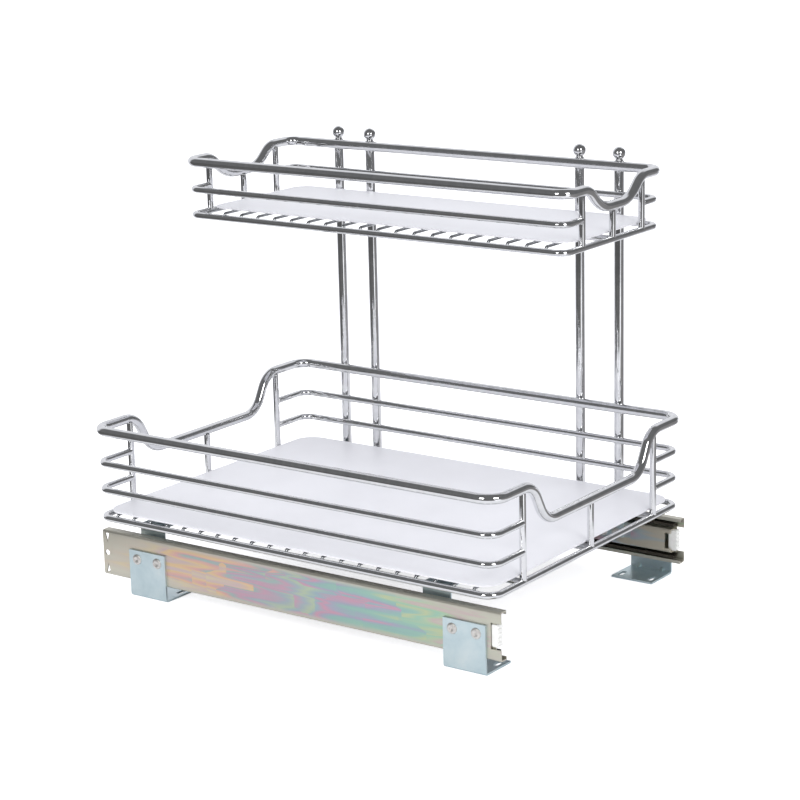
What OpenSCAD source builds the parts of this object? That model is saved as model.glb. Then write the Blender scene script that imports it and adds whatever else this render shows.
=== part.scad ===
// Two-tier pull out cabinet basket on a pair of telescopic ball slides.
// All lengths are millimetres. +Z is up, -Y is the front, where the basket pulls out.
// The origin lies on the cabinet floor, at the centre of the floor brackets.
// The upper basket and the four uprights are on the +X side.

/* [Slides] */
// Length of each outer slide member, front to rear.
slide_length = 457; // [445:1:465]
// Height of each outer slide member.
slide_height = 45; // [44.5:0.1:46]
// Depth of a closed slide, from the outer web face to the inner web face.
slide_depth = 12.7; // [12.6:0.1:13.2]
// Distance from the middle of the part to each outer web face.
slide_face_x = 161.6; // [161:0.1:162.5]
// Height of the slide centre line above the floor.
slide_centre_z = 37.5; // [37:0.1:38]
// Sheet thickness of the three slide members.
slide_gauge = 1.2; // [1.1:0.05:1.3]
// Depth of the outer member's flanges.
outer_flange = 9; // [8.9:0.1:9.4]
// Height of the lip at the edge of each outer flange.
outer_lip = 2; // [1.8:0.1:2.1]
// Outside bend radius of the outer member.
outer_bend_r = 2.2; // [1.8:0.1:2.4]
// Distance from the outer member's front end to the intermediate member's front end.
middle_front_setback = 6.5; // [6:0.1:7]
// Distance from the outer member's rear end to the intermediate member's rear end.
middle_rear_setback = 13.5; // [12:0.5:15]
// Depth of the intermediate member's flanges, web included.
middle_flange = 8.2; // [8:0.1:8.4]
// Height of the lip at the edge of each intermediate flange.
middle_lip = 1.2; // [1:0.1:1.4]
// Outside bend radius of the intermediate and inner members.
inner_bend_r = 1.7; // [1.5:0.1:1.8]
// Distance from the outer member's front end to the inner member's front end.
inner_front_setback = 8.2; // [7.8:0.1:9]
// Distance from the outer member's rear end to the inner member's rear end.
inner_rear_setback = 2.5; // [2:0.1:4]
// Depth of the inner member's flanges, web included.
inner_flange = 8.2; // [8:0.1:8.3]
// Height of the notch in the inner member's front edge.
inner_notch_height = 15.2; // [14:0.2:16]
// Depth of the notch in the inner member's front edge.
inner_notch_depth = 6.6; // [6:0.1:7]
// Height of the notch in the outer member's front edge.
outer_notch_height = 24; // [23:0.2:25]
// Depth of the notch in the outer member's front edge.
outer_notch_depth = 10.5; // [9:0.1:11]
// Distance from the rear end to the centre of the round rear hole.
rear_hole_inset = 5; // [4.6:0.1:6]
// Diameter of the round rear hole.
rear_hole_d = 5.5; // [5:0.1:6]
// Distance from the rear end to the middle of the lanced cut-outs.
lance_inset = 5.5; // [5:0.1:6]
// Width of each lanced cut-out at its blunt end.
lance_width = 4.8; // [4.4:0.1:5]
// Height of each lanced cut-out.
lance_height = 9.2; // [8.8:0.1:9.5]
// Distance from the slide centre line to the pointed end of each lanced cut-out.
lance_start = 10.5; // [10:0.1:10.6]

/* [Balls and retainers] */
// Diameter of the balls.
ball_d = 4; // [3.9:0.05:4.05]
// Number of balls in each row.
ball_count = 8; // [6:1:9]
// Distance between neighbouring balls in a row.
ball_pitch = 24; // [22:0.5:24.5]
// Distance from the outer web face to the centres of the outer balls.
outer_ball_depth = 5.4; // [5.3:0.05:5.5]
// Distance from the outer web face to the centres of the inner balls.
inner_ball_depth = 6.8; // [6.7:0.05:6.85]
// Length of each ball retainer.
cage_length = 190; // [186:1:194]
// Sheet thickness of the ball retainers.
cage_gauge = 0.4; // [0.35:0.05:0.45]
// Distance from the retainer's web to its free edge.
cage_flange = 5.7; // [5.5:0.05:5.8]
// Distance from the inner retainer's web to its free edge.
inner_cage_flange = 5.1; // [5:0.05:5.2]

/* [Front bumpers] */
// Length of the bumper behind the intermediate member's front end.
bumper_root = 5.8; // [5.4:0.1:6]
// Reach of the bumper in front of the intermediate member's front end.
bumper_reach = 3; // [2.8:0.1:3.4]
// Height of the bumper.
bumper_height = 20.2; // [19.6:0.1:20.2]
// Thickness of the bumper inwards from the intermediate web.
bumper_depth = 5.4; // [5:0.1:5.8]
// Radius of each of the five lobes on the bumper's front edge.
lobe_r = 2.1; // [2.05:0.01:2.15]

/* [Floor brackets] */
// Sheet thickness of the floor brackets.
floor_bracket_gauge = 2; // [1.8:0.1:2.2]
// Width of each floor bracket, front to rear.
floor_bracket_width = 44.4; // [43.6:0.2:46]
// Height of each floor bracket.
floor_bracket_height = 46.3; // [45.5:0.1:47]
// Reach of each foot, from the bracket's outer face.
foot_reach = 39.6; // [39:0.1:42]
// Outside bend radius of the floor brackets.
floor_bend_r = 3; // [2.8:0.1:3.4]
// Distance from the slide's front end to the middle of the front floor bracket.
floor_front_inset = 36.8; // [36:0.1:38]
// Distance from the slide's rear end to the middle of the rear floor bracket.
floor_rear_inset = 57.1; // [56:0.1:58]
// Distance from the middle of the part to the slot centres.
slot_x = 134.8; // [134:0.1:137]
// Distance between the two slots of one foot.
slot_pair_spacing = 32.4; // [32:0.1:33]
// Width of each slot.
slot_width = 5; // [4.5:0.1:5.5]
// Length of each slot, end to end.
slot_length = 12.4; // [12:0.1:13]
// Distance between the two stiffening darts of one bracket.
dart_spacing = 25; // [24:0.5:26]
// Width of each stiffening dart.
dart_width = 3; // [2.6:0.1:3.4]
// Height and depth of each stiffening dart.
dart_size = 3.6; // [3.2:0.1:4]
// Distance between the two rivets of one floor bracket.
floor_rivet_spacing = 25; // [24:0.1:26]
// Diameter of the rivet shanks.
rivet_d = 4.8; // [4.6:0.1:5]
// Diameter of the rivet heads.
rivet_head_d = 10.4; // [10:0.1:10.8]
// Height of the rivet heads.
rivet_head_h = 1.4; // [1.3:0.05:1.6]
// Diameter of the dimple in each rivet head.
rivet_dimple_d = 4.6; // [4.2:0.1:5]
// Depth of the dimple in each rivet head.
rivet_dimple_h = 0.6; // [0.5:0.05:0.7]

/* [Basket brackets] */
// Sheet thickness of the basket brackets.
basket_bracket_gauge = 1.5; // [1.4:0.1:1.6]
// Width of each basket bracket, front to rear.
basket_bracket_width = 29.8; // [29:0.1:31]
// Distance from the top face of each basket bracket down to its lower edge.
basket_bracket_drop = 36; // [35:0.5:37]
// Reach of each top flange inwards from the slide.
top_flange_reach = 53; // [52:0.5:56]
// Outside bend radius of the basket brackets.
basket_bend_r = 2.5; // [2.3:0.1:2.7]
// Distance from the slide's front end to the middle of the front basket brackets.
front_bracket_inset = 74.9; // [74:0.1:76]
// Distance from the slide's rear end to the middle of the rear basket brackets.
rear_bracket_inset = 53; // [52:0.1:53.5]
// Distance between the two rivets of one basket bracket.
basket_rivet_spacing = 15; // [14:0.1:16]
// Height of the bracket rivets' tails inside the inner member.
rivet_tail_h = 0.7; // [0.6:0.05:0.8]
// Width of each saddle clamp along the wire.
clamp_width = 12; // [11:0.5:13]
// Sheet thickness of the saddle clamps.
clamp_gauge = 1.2; // [1.1:0.05:1.3]
// Distance from the wire's middle to each end of a saddle clamp.
clamp_half_span = 15; // [14.6:0.1:15.5]
// Distance from the wire's middle to each clamp screw.
clamp_screw_offset = 10; // [9.6:0.1:10.4]
// Diameter of the clamp screws.
screw_d = 4; // [3.8:0.1:4.2]
// Diameter of the clamp screws' heads.
screw_head_d = 7.2; // [7:0.1:7.6]
// Height of the clamp screws' heads.
screw_head_h = 2.4; // [2.2:0.1:2.6]
// Length of screw below the bracket's top flange.
screw_tail = 3; // [2.5:0.1:3.5]
// Width of the straight slot in each screw head.
screw_slot_width = 1.1; // [1:0.05:1.2]
// Depth of the straight slot in each screw head.
screw_slot_depth = 1; // [0.9:0.05:1.1]

/* [Wire sizes] */
// Diameter of the heavy wire in the top rims and uprights.
rim_d = 9.5; // [9.3:0.1:9.7]
// Diameter of the side wires, posts, runners and bottom rims.
wire_d = 6.35; // [6.2:0.05:6.5]
// Diameter of the floor wires.
floor_wire_d = 3; // [2.8:0.1:3.2]
// Distance by which the top rims stand outside the posts, front and rear.
rim_outset = 2.7; // [2.5:0.1:2.9]
// Bend radius at the ends of the floor wires.
hook_bend_r = 2.2; // [2:0.1:2.4]
// Thickness of the plastic liners.
liner_thickness = 1.2; // [1.1:0.05:1.3]
// Depth to which welded wires sink into each other.
weld_bite = 0.15; // [0.12:0.01:0.2]
// Depth to which the ends of posts, runners and side wires sink into the wires they meet.
butt_bite = 1.5; // [1.3:0.1:1.7]
// Extra diameter of the rims' bends over their straight runs, as if pressed in bending.
bend_swell = 0.1; // [0.08:0.01:0.12]
// Length by which each straight run of a rim enters the bend beside it.
bend_overlap = 0.1; // [0.08:0.01:0.15]
// Depth to which the floor wires sink into the runners.
floor_weld_bite = 0.4; // [0.35:0.01:0.45]

/* [Lower basket] */
// Distance from the middle of the part to the side wires of the lower basket.
lower_half_width = 161.2; // [160.5:0.1:161.5]
// Distance from the slides' front ends to the lower basket's front posts.
lower_front_inset = 7.75; // [7:0.05:8.5]
// Distance by which the lower basket's rear posts stand behind the slides' rear ends.
lower_rear_reach = 1.75; // [1:0.05:2.5]
// Height of the lower basket's bottom rim and runners.
lower_bottom_z = 72.3; // [72:0.1:72.6]
// Height of the lower side wires above the lower basket's bottom rim.
lower_side_lower_rise = 27.7; // [27:0.1:28.5]
// Height of the upper side wires above the lower basket's bottom rim.
lower_side_upper_rise = 54; // [53.5:0.1:54.5]
// Height of the lower basket's top rim above its bottom rim.
lower_top_rise = 86.1; // [85.5:0.1:87]
// Plan bend radius of the lower basket's bottom rim and side wires.
lower_corner_r = 13; // [12:0.5:14]
// Plan bend radius of the lower basket's top rim.
lower_top_corner_r = 17; // [16:0.5:18]
// Depth of the dips in the lower basket's top rim.
lower_dip_depth = 38.1; // [37.5:0.1:38.7]
// Half width of the lower dips between the bend points at the top.
lower_dip_top = 102.2; // [101.5:0.1:102.8]
// Half width of the lower dips between the bend points at the bottom.
lower_dip_bottom = 81.8; // [81:0.1:82.5]
// Bend radius at the top of the lower dips.
lower_crest_r = 19; // [18:0.5:19.5]
// Bend radius at the bottom of the lower dips.
lower_trough_r = 14; // [13:0.5:15]
// Distance from the middle of the part to the corner posts and outer runners.
lower_runner_x = 113.4; // [113:0.1:114]
// Number of floor wires in the lower basket.
lower_floor_wire_count = 21; // [21:1:21]
// Distance from the side wires to the bent-down ends of the floor wires.
hook_inset = 1.6; // [1.4:0.1:1.8]
// Distance from the side wires to the lower liner's edges, and to the upper liner's outer edge.
liner_side_gap = 1.7; // [1.6:0.1:2.2]
// Distance from the posts' middle to the lower liner's edges, and to the upper liner's front edge.
liner_end_gap = 3.8; // [3.6:0.1:4.4]
// Corner radius of the lower liner.
lower_liner_r = 20; // [18:0.5:22]

/* [Upper basket] */
// Position of the upper basket's inner side along X.
upper_inner_x = -3.7; // [-4.5:0.1:-3]
// Distance from the slides' front ends to the upper basket's front posts.
upper_front_inset = 31.2; // [30:0.1:32.5]
// Distance by which the upper basket's rear posts stand behind the slides' rear ends.
upper_rear_reach = 5.65; // [5:0.05:6.5]
// Height of the upper basket's bottom rim and runner.
upper_bottom_z = 341.6; // [341:0.1:342.2]
// Height of the side wires above the upper basket's bottom rim.
upper_side_rise = 25.4; // [25:0.1:26]
// Height of the upper basket's top rim above its bottom rim.
upper_top_rise = 52.6; // [52:0.1:53]
// Plan bend radius of the upper basket's bottom rim and side wires.
upper_corner_r = 10; // [9:0.5:11]
// Plan bend radius of the upper basket's top rim.
upper_top_corner_r = 13; // [12:0.5:14]
// Depth of the dips in the upper basket's top rim.
upper_dip_depth = 20.3; // [20:0.1:21]
// Half width of the upper dips between the bend points at the top.
upper_dip_top = 46.4; // [46:0.1:47]
// Half width of the upper dips between the bend points at the bottom.
upper_dip_bottom = 21.6; // [21:0.1:22]
// Bend radius at the top of the upper dips.
upper_crest_r = 16; // [15:0.5:17]
// Bend radius at the bottom of the upper dips.
upper_trough_r = 16; // [15:0.5:17]
// Distance from the middle of the upper basket to its corner posts.
upper_post_offset = 53; // [52.5:0.1:53.5]
// Number of floor wires in the upper basket.
upper_floor_wire_count = 20; // [20:1:20]
// Distance from the inner side wire to the upper liner's inner edge.
upper_liner_inner_gap = 14.5; // [13:0.5:16]
// Distance from the middle of the rear posts to the upper liner's rear edge.
upper_liner_rear_gap = 11.2; // [10:0.1:12]
// Corner radius of the upper liner.
upper_liner_r = 16; // [14:0.5:18]

/* [Uprights] */
// Distance from the slides' front ends to the middle of the front pair of uprights.
front_pair_inset = 98.8; // [97.5:0.1:100]
// Distance from the slides' rear ends to the middle of the rear pair of uprights.
rear_pair_inset = 67.9; // [66.5:0.1:69.5]
// Distance between the two uprights of the front pair.
front_pair_gap = 43.7; // [42:0.1:45]
// Distance between the two uprights of the rear pair.
rear_pair_gap = 39.5; // [38:0.1:41]
// Height of the uprights' top ends above the upper basket's top rim.
upright_rise = 3.4; // [3:0.1:4]
// Diameter of the ball on each upright.
finial_d = 12.5; // [12.2:0.1:13]
// Diameter of the neck under each ball.
finial_neck_d = 6.4; // [6:0.1:7]
// Height of the neck up to the middle of the ball.
finial_neck_h = 7.7; // [7.2:0.1:8]

/* [Clearances] */
// Clearance between each ball and the races it rolls on.
ball_clearance = 0.1; // [0.08:0.01:0.12]
// Clearance between each ball and the edge of its retainer hole.
cage_hole_clearance = 0.15; // [0.12:0.01:0.2]
// Clearance between neighbouring flat webs that slide past each other.
web_clearance = 0.3; // [0.28:0.01:0.32]
// Clearance between fastener shanks and their holes.
shank_clearance = 0.1; // [0.05:0.01:0.15]
// Clearance between a runner and the clamp over it.
clamp_clearance = 0.1; // [0.05:0.01:0.15]
// Overrun of every cutting tool past the faces it cuts.
cut_overrun = 1; // [0.8:0.1:1.2]

/* [Hidden] */
slide_half = slide_height / 2;
floor_y = (slide_length - floor_front_inset - floor_rear_inset) / 2;
slide_centre_y = (floor_rear_inset - floor_front_inset) / 2;
front_end_y = slide_centre_y - slide_length / 2;
rear_end_y = slide_centre_y + slide_length / 2;
outer_inside_half = slide_half - slide_gauge;
race_gap = ball_d + 2 * ball_clearance;
middle_half = outer_inside_half - race_gap;
middle_inside_half = middle_half - slide_gauge;
inner_half = middle_inside_half - race_gap;
outer_ball_h = outer_inside_half - race_gap / 2;
inner_ball_h = middle_inside_half - race_gap / 2;
outer_cage_depth = slide_gauge + web_clearance;
middle_web_depth = outer_cage_depth + cage_gauge + web_clearance;
inner_cage_depth = middle_web_depth + slide_gauge + web_clearance;
inner_web_x = slide_face_x - slide_depth;
middle_front_y = front_end_y + middle_front_setback;
middle_rear_y = rear_end_y - middle_rear_setback;
inner_front_y = front_end_y + inner_front_setback;
inner_rear_y = rear_end_y - inner_rear_setback;
floor_plate_x = slide_face_x + floor_bracket_gauge;
front_bracket_y = front_end_y + front_bracket_inset;
rear_bracket_y = rear_end_y - rear_bracket_inset;
lower_front_y = front_end_y + lower_front_inset;
lower_rear_y = rear_end_y + lower_rear_reach;
lower_side_lower_z = lower_bottom_z + lower_side_lower_rise;
lower_side_upper_z = lower_bottom_z + lower_side_upper_rise;
lower_top_z = lower_bottom_z + lower_top_rise;
upper_front_y = front_end_y + upper_front_inset;
upper_rear_y = rear_end_y + upper_rear_reach;
upper_side_z = upper_bottom_z + upper_side_rise;
upper_top_z = upper_bottom_z + upper_top_rise;
front_pair_y = front_end_y + front_pair_inset;
rear_pair_y = rear_end_y - rear_pair_inset;
upright_top_z = upper_top_z + upright_rise;
wire_r = wire_d / 2;
rim_r = rim_d / 2;
floor_wire_r = floor_wire_d / 2;
top_face_z = lower_bottom_z - wire_r;
floor_lift = wire_r + floor_wire_r - floor_weld_bite;
liner_lift = floor_lift + floor_wire_r;
upright_x = lower_half_width + wire_r + rim_r - weld_bite;
upper_middle_x = (lower_half_width + upper_inner_x) / 2;
lower_pitch = (lower_rear_y - lower_front_y) / (lower_floor_wire_count + 1);
upper_pitch = (upper_rear_y - upper_front_y) / (upper_floor_wire_count + 1);
clamp_front_y = lower_front_y + lower_pitch * 3.5;
clamp_rear_y = lower_front_y + lower_pitch * 19.5;

chrome = [0.78, 0.79, 0.80];
zinc_blue = [0.70, 0.76, 0.80];
zinc_yellow = [0.76, 0.75, 0.62];
steel = [0.62, 0.62, 0.60];
plastic_white = [0.95, 0.95, 0.94];
liner_white = [0.90, 0.90, 0.93];

$fn = 48;

// Part to draw, or all.

// Vector helpers used by the bent wires.
function unit(v) = v / norm(v);
function bend_angle(a, b, c) = acos(unit(b - a) * unit(c - b));
function bend_trim(a, b, c, r) = r * tan(bend_angle(a, b, c) / 2);
function across(v) =
    abs(unit(v).z) < 0.9 ? unit(cross([0, 0, 1], v)) : unit(cross([0, 1, 0], v));

// Straight length of round wire from point a to point b.
module wire_run(a, b, d) {
    z = unit(b - a);
    x = across(b - a);
    y = cross(z, x);
    multmatrix([
        [x.x, y.x, z.x, a.x],
        [x.y, y.y, z.y, a.y],
        [x.z, y.z, z.z, a.z],
        [0, 0, 0, 1]
    ])
        cylinder(h = norm(b - a), d = d);
}

// Bend of radius r in a wire that turns at point b, between points a and c.
module wire_bend(a, b, c, r, d) {
    u = unit(b - a);
    v = unit(c - b);
    turn = bend_angle(a, b, c);
    n = unit(v - u * (u * v));
    start = b - u * bend_trim(a, b, c, r);
    centre = start + n * r;
    w = cross(-n, u);
    multmatrix([
        [-n.x, u.x, w.x, centre.x],
        [-n.y, u.y, w.y, centre.y],
        [-n.z, u.z, w.z, centre.z],
        [0, 0, 0, 1]
    ])
        rotate_extrude(angle = turn)
            translate([r, 0])
                circle(d = d);
}

// Wire bent at each inner point of an open path, with one bend radius per point.
module bent_wire(p, r, d) {
    n = len(p);
    trim = [for (i = [0:n - 1])
        i == 0 || i == n - 1 ? 0 : bend_trim(p[i - 1], p[i], p[i + 1], r[i])];
    union() {
        for (i = [0:n - 2])
            wire_run(
                p[i] + unit(p[i + 1] - p[i]) * trim[i],
                p[i + 1] - unit(p[i + 1] - p[i]) * trim[i + 1],
                d
            );
        for (i = [1:n - 2])
            wire_bend(p[i - 1], p[i], p[i + 1], r[i], d);
    }
}

// Wire bent at every point of a closed loop, with one bend radius per point.
// Its bends are swollen a little and its straight runs end just inside them.
module wire_loop(p, r, d) {
    n = len(p);
    trim = [for (i = [0:n - 1])
        bend_trim(p[(i + n - 1) % n], p[i], p[(i + 1) % n], r[i]) - bend_overlap];
    union() {
        for (i = [0:n - 1])
            wire_run(
                p[i] + unit(p[(i + 1) % n] - p[i]) * trim[i],
                p[(i + 1) % n] - unit(p[(i + 1) % n] - p[i]) * trim[(i + 1) % n],
                d
            );
        for (i = [0:n - 1])
            wire_bend(p[(i + n - 1) % n], p[i], p[(i + 1) % n], r[i], d + bend_swell);
    }
}

// Flat rectangular rim.
module plain_rim(x0, x1, y0, y1, z, corner, d) {
    wire_loop(
        [[x0, y0, z], [x1, y0, z], [x1, y1, z], [x0, y1, z]],
        [corner, corner, corner, corner],
        d
    );
}

// Rectangular rim with a dip in the middle of its front and rear runs.
module dipped_rim(x0, x1, y0, y1, z, depth, top, bottom, corner, crest, trough, d) {
    m = (x0 + x1) / 2;
    low = z - depth;
    wire_loop(
        [
            [x0, y0, z], [m - top, y0, z], [m - bottom, y0, low],
            [m + bottom, y0, low], [m + top, y0, z], [x1, y0, z],
            [x1, y1, z], [m + top, y1, z], [m + bottom, y1, low],
            [m - bottom, y1, low], [m - top, y1, z], [x0, y1, z]
        ],
        [
            corner, crest, trough, trough, crest, corner,
            corner, crest, trough, trough, crest, corner
        ],
        d
    );
}

// Side wire that wraps both corners of one side and butts onto the corner posts.
module side_wire(x_side, x_end, y0, y1, z, corner) {
    bent_wire(
        [[x_end, y0, z], [x_side, y0, z], [x_side, y1, z], [x_end, y1, z]],
        [0, corner, corner, 0],
        wire_d
    );
}

// Pair of posts at position x, welded between the bottom rim and the wire above.
module post_pair(x, y0, y1, z, top) {
    for (y = [y0, y1])
        wire_run([x, y, z + wire_r - butt_bite], [x, y, top - wire_r], wire_d);
}

// Straight runner at position x, welded between the front and rear of the bottom rim.
module runner(x, y0, y1, z) {
    inset = wire_r - butt_bite;
    wire_run([x, y0 + inset, z], [x, y1 - inset, z], wire_d);
}

// Evenly spaced floor wires whose ends bend down onto the bottom rim.
module floor_wires(x0, x1, y0, pitch, count, z) {
    for (i = [1:count])
        bent_wire(
            [
                [x0 + hook_inset, y0 + pitch * i, z],
                [x0 + hook_inset, y0 + pitch * i, z + floor_lift],
                [x1 - hook_inset, y0 + pitch * i, z + floor_lift],
                [x1 - hook_inset, y0 + pitch * i, z]
            ],
            [0, hook_bend_r, hook_bend_r, 0],
            floor_wire_d
        );
}

// Flat plastic sheet with round corners that lies on the floor wires.
module liner(x0, x1, y0, y1, z, r) {
    translate([x0, y0, z])
        linear_extrude(liner_thickness)
            rounded_rectangle(x1 - x0, y1 - y0, r);
}

// Rectangle with four round corners, its lower left corner at the origin.
module rounded_rectangle(w, h, r) {
    translate([r, 0])
        square([w - 2 * r, h]);
    translate([0, r])
        square([w, h - 2 * r]);
    for (x = [r, w - r])
        for (y = [r, h - r])
            translate([x, y])
                circle(r);
}

// Copy of the children on the +X side for side 1 and on the -X side for side -1.
module on_side(s) {
    if (s > 0)
        children();
    if (s < 0)
        mirror([1, 0, 0])
            children();
}

// Solid section of a channel: the web face is at x = 0, the flanges point to -x.
module channel_block(depth, half, r) {
    translate([-depth, -half])
        square([depth - r, 2 * half]);
    translate([-depth, -half + r])
        square([depth, 2 * (half - r)]);
    for (s = [-1, 1])
        translate([-r, s * (half - r)])
            circle(r);
}

// Section of a channel made from sheet of thickness g.
module channel_section(depth, half, r, g) {
    difference() {
        channel_block(depth, half, r);
        translate([-g, 0])
            channel_block(depth, half - g, r - g);
    }
}

// Extrusion of a section in the XZ plane of one slide, from y0 to y1.
module along_slide(depth, y0, y1) {
    translate([slide_face_x - depth, y1, slide_centre_z])
        rotate([90, 0, 0])
            linear_extrude(y1 - y0)
                children();
}

// Outer member, on the +X side.
module outer_member() {
    difference() {
        along_slide(0, front_end_y, rear_end_y) {
            channel_section(outer_flange, slide_half, outer_bend_r, slide_gauge);
            for (s = [-1, 1])
                translate([
                    -outer_flange,
                    s * (outer_inside_half - outer_lip / 2) - (outer_lip / 2)
                ])
                    square([slide_gauge, outer_lip]);
        }
        outer_notch_cutter();
        translate([
            slide_face_x - slide_gauge - cut_overrun,
            rear_end_y - rear_hole_inset,
            slide_centre_z
        ])
            rotate([0, 90, 0])
                cylinder(h = slide_gauge + 2 * cut_overrun, d = rear_hole_d);
        for (s = [-1, 1])
            lance_cutter(s);
    }
}

// Cutter for the notch in the front edge of the outer member's web.
module outer_notch_cutter() {
    translate([
        slide_face_x - slide_gauge - cut_overrun,
        front_end_y - cut_overrun,
        slide_centre_z - outer_notch_height / 2
    ])
        cube([
            slide_gauge + 2 * cut_overrun,
            outer_notch_depth + cut_overrun,
            outer_notch_height
        ]);
}

// Triangular cutter for one lanced cut-out, above the centre line for s = 1.
module lance_cutter(s) {
    translate([slide_face_x - slide_gauge - cut_overrun, rear_end_y - lance_inset, slide_centre_z])
        rotate([90, 0, 90])
            linear_extrude(slide_gauge + 2 * cut_overrun)
                polygon([
                    [0, s * lance_start],
                    [-lance_width / 2, s * (lance_start + lance_height)],
                    [lance_width / 2, s * (lance_start + lance_height)]
                ]);
}

// Intermediate member, on the +X side.
module middle_member() {
    along_slide(middle_web_depth, middle_front_y, middle_rear_y) {
        channel_section(middle_flange, middle_half, inner_bend_r, slide_gauge);
        for (s = [-1, 1])
            translate([
                -middle_flange,
                s * (middle_inside_half - middle_lip / 2) - (middle_lip / 2)
            ])
                square([slide_gauge, middle_lip]);
    }
}

// Inner member, on the +X side. Its web faces the basket.
module inner_member() {
    difference() {
        translate([inner_web_x, inner_rear_y, slide_centre_z])
            rotate([90, 0, 0])
                linear_extrude(inner_rear_y - inner_front_y)
                    mirror([1, 0])
                        channel_section(inner_flange, inner_half, inner_bend_r, slide_gauge);
        translate([
            inner_web_x - cut_overrun,
            inner_front_y - cut_overrun,
            slide_centre_z - inner_notch_height / 2
        ])
            cube([
                slide_gauge + 2 * cut_overrun,
                inner_notch_depth + cut_overrun,
                inner_notch_height
            ]);
        for (y = [front_bracket_y, rear_bracket_y])
            for (s = [-1, 1])
                translate([
                    inner_web_x - cut_overrun,
                    y + s * basket_rivet_spacing / 2,
                    slide_centre_z
                ])
                    rotate([0, 90, 0])
                        cylinder(
                            h = slide_gauge + 2 * cut_overrun,
                            d = rivet_d + 2 * shank_clearance
                        );
    }
}

// Ball retainer with holes for two rows of balls, on the +X side.
module cage(depth, flange, ball_h, ball_depth) {
    difference() {
        along_slide(depth, slide_centre_y - cage_length / 2, slide_centre_y + cage_length / 2)
            difference() {
                translate([-flange, -ball_h - cage_gauge / 2])
                    square([flange, 2 * ball_h + cage_gauge]);
                translate([-flange - cage_gauge, -ball_h + cage_gauge / 2])
                    square([flange, 2 * ball_h - cage_gauge]);
            }
        ball_rows(ball_depth)
            translate([0, 0, -ball_h - cage_gauge])
                cylinder(
                    h = 2 * (ball_h + cage_gauge),
                    d = ball_d + 2 * cage_hole_clearance
                );
    }
}

// Copies of the children along one slide, one for each ball position.
module ball_rows(ball_depth) {
    for (i = [0:ball_count - 1])
        translate([
            slide_face_x - ball_depth,
            slide_centre_y + (i - (ball_count - 1) / 2) * ball_pitch,
            slide_centre_z
        ])
            children();
}

// Two rows of balls, on the +X side.
module balls(ball_h, ball_depth) {
    ball_rows(ball_depth)
        for (s = [-1, 1])
            translate([0, 0, s * ball_h])
                sphere(d = ball_d);
}

// Bumper clipped to the front end of the intermediate member, on the +X side.
module front_bumper() {
    depth = middle_web_depth + slide_gauge;
    root_y = middle_front_y - (bumper_reach - lobe_r);
    difference() {
        union() {
            translate([
                slide_face_x - depth - bumper_depth,
                root_y,
                slide_centre_z - bumper_height / 2
            ])
                cube([
                    bumper_depth + slide_gauge,
                    bumper_root + bumper_reach - lobe_r,
                    bumper_height
                ]);
            for (s = [-2:2])
                translate([
                    slide_face_x - depth - bumper_depth,
                    root_y,
                    slide_centre_z + s * (bumper_height / 2 - lobe_r) / 2
                ])
                    rotate([0, 90, 0])
                        cylinder(h = bumper_depth + slide_gauge, r = lobe_r);
        }
        translate([
            slide_face_x - depth,
            middle_front_y,
            slide_centre_z - bumper_height / 2 - cut_overrun
        ])
            cube([
                slide_gauge + cut_overrun,
                bumper_root + cut_overrun,
                bumper_height + 2 * cut_overrun
            ]);
    }
}

// Section of a bent L-shaped plate: one leg up from the corner, one leg to -x.
module angle_section(reach, height, r, g) {
    translate([-g, r])
        square([g, height - r]);
    translate([-reach, 0])
        square([reach - r, g]);
    intersection() {
        translate([-r, r])
            difference() {
                circle(r);
                circle(r - g);
            }
        translate([-r, 0])
            square([r, r]);
    }
}

// Floor bracket on the +X side, its middle at y.
module floor_bracket(y) {
    difference() {
        union() {
            translate([floor_plate_x, y + floor_bracket_width / 2, 0])
                rotate([90, 0, 0])
                    linear_extrude(floor_bracket_width)
                        angle_section(
                            foot_reach, floor_bracket_height, floor_bend_r, floor_bracket_gauge
                        );
            for (s = [-1, 1])
                dart(y + s * dart_spacing / 2);
        }
        for (s = [-1, 1]) {
            slot_cutter(y + s * slot_pair_spacing / 2);
            translate([
                slide_face_x - cut_overrun,
                y + s * floor_rivet_spacing / 2,
                slide_centre_z
            ])
                rotate([0, 90, 0])
                    cylinder(
                        h = floor_bracket_gauge + 2 * cut_overrun,
                        d = rivet_d + 2 * shank_clearance
                    );
        }
    }
}

// Stiffening dart pressed into the bend of a floor bracket.
module dart(y) {
    translate([floor_plate_x, y + dart_width / 2, 0])
        rotate([90, 0, 0])
            linear_extrude(dart_width)
                polygon([
                    [-floor_bracket_gauge, floor_bracket_gauge],
                    [-floor_bracket_gauge, floor_bracket_gauge + dart_size],
                    [-floor_bracket_gauge - dart_size, floor_bracket_gauge]
                ]);
}

// Cutter for one slot in a foot, its length along X.
module slot_cutter(y) {
    run = slot_length - slot_width;
    translate([slot_x, y, -cut_overrun])
        linear_extrude(floor_bracket_gauge + 2 * cut_overrun)
            union() {
                translate([-run / 2, -slot_width / 2])
                    square([run, slot_width]);
                for (s = [-1, 1])
                    translate([s * run / 2, 0])
                        circle(d = slot_width);
            }
}

// Rivet along +X: the head starts at x = 0 and the shank reaches back by grip.
module rivet(grip) {
    rotate([0, 90, 0])
        difference() {
            union() {
                translate([0, 0, -grip])
                    cylinder(h = grip + rivet_head_h / 2, d = rivet_d);
                cylinder(h = rivet_head_h / 2, d = rivet_head_d);
                translate([0, 0, rivet_head_h / 2])
                    cylinder(
                        h = rivet_head_h / 2,
                        d1 = rivet_head_d,
                        d2 = (rivet_head_d + rivet_dimple_d) / 2
                    );
            }
            translate([0, 0, rivet_head_h - rivet_dimple_h])
                cylinder(h = rivet_dimple_h + cut_overrun, d = rivet_dimple_d);
        }
}

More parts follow.
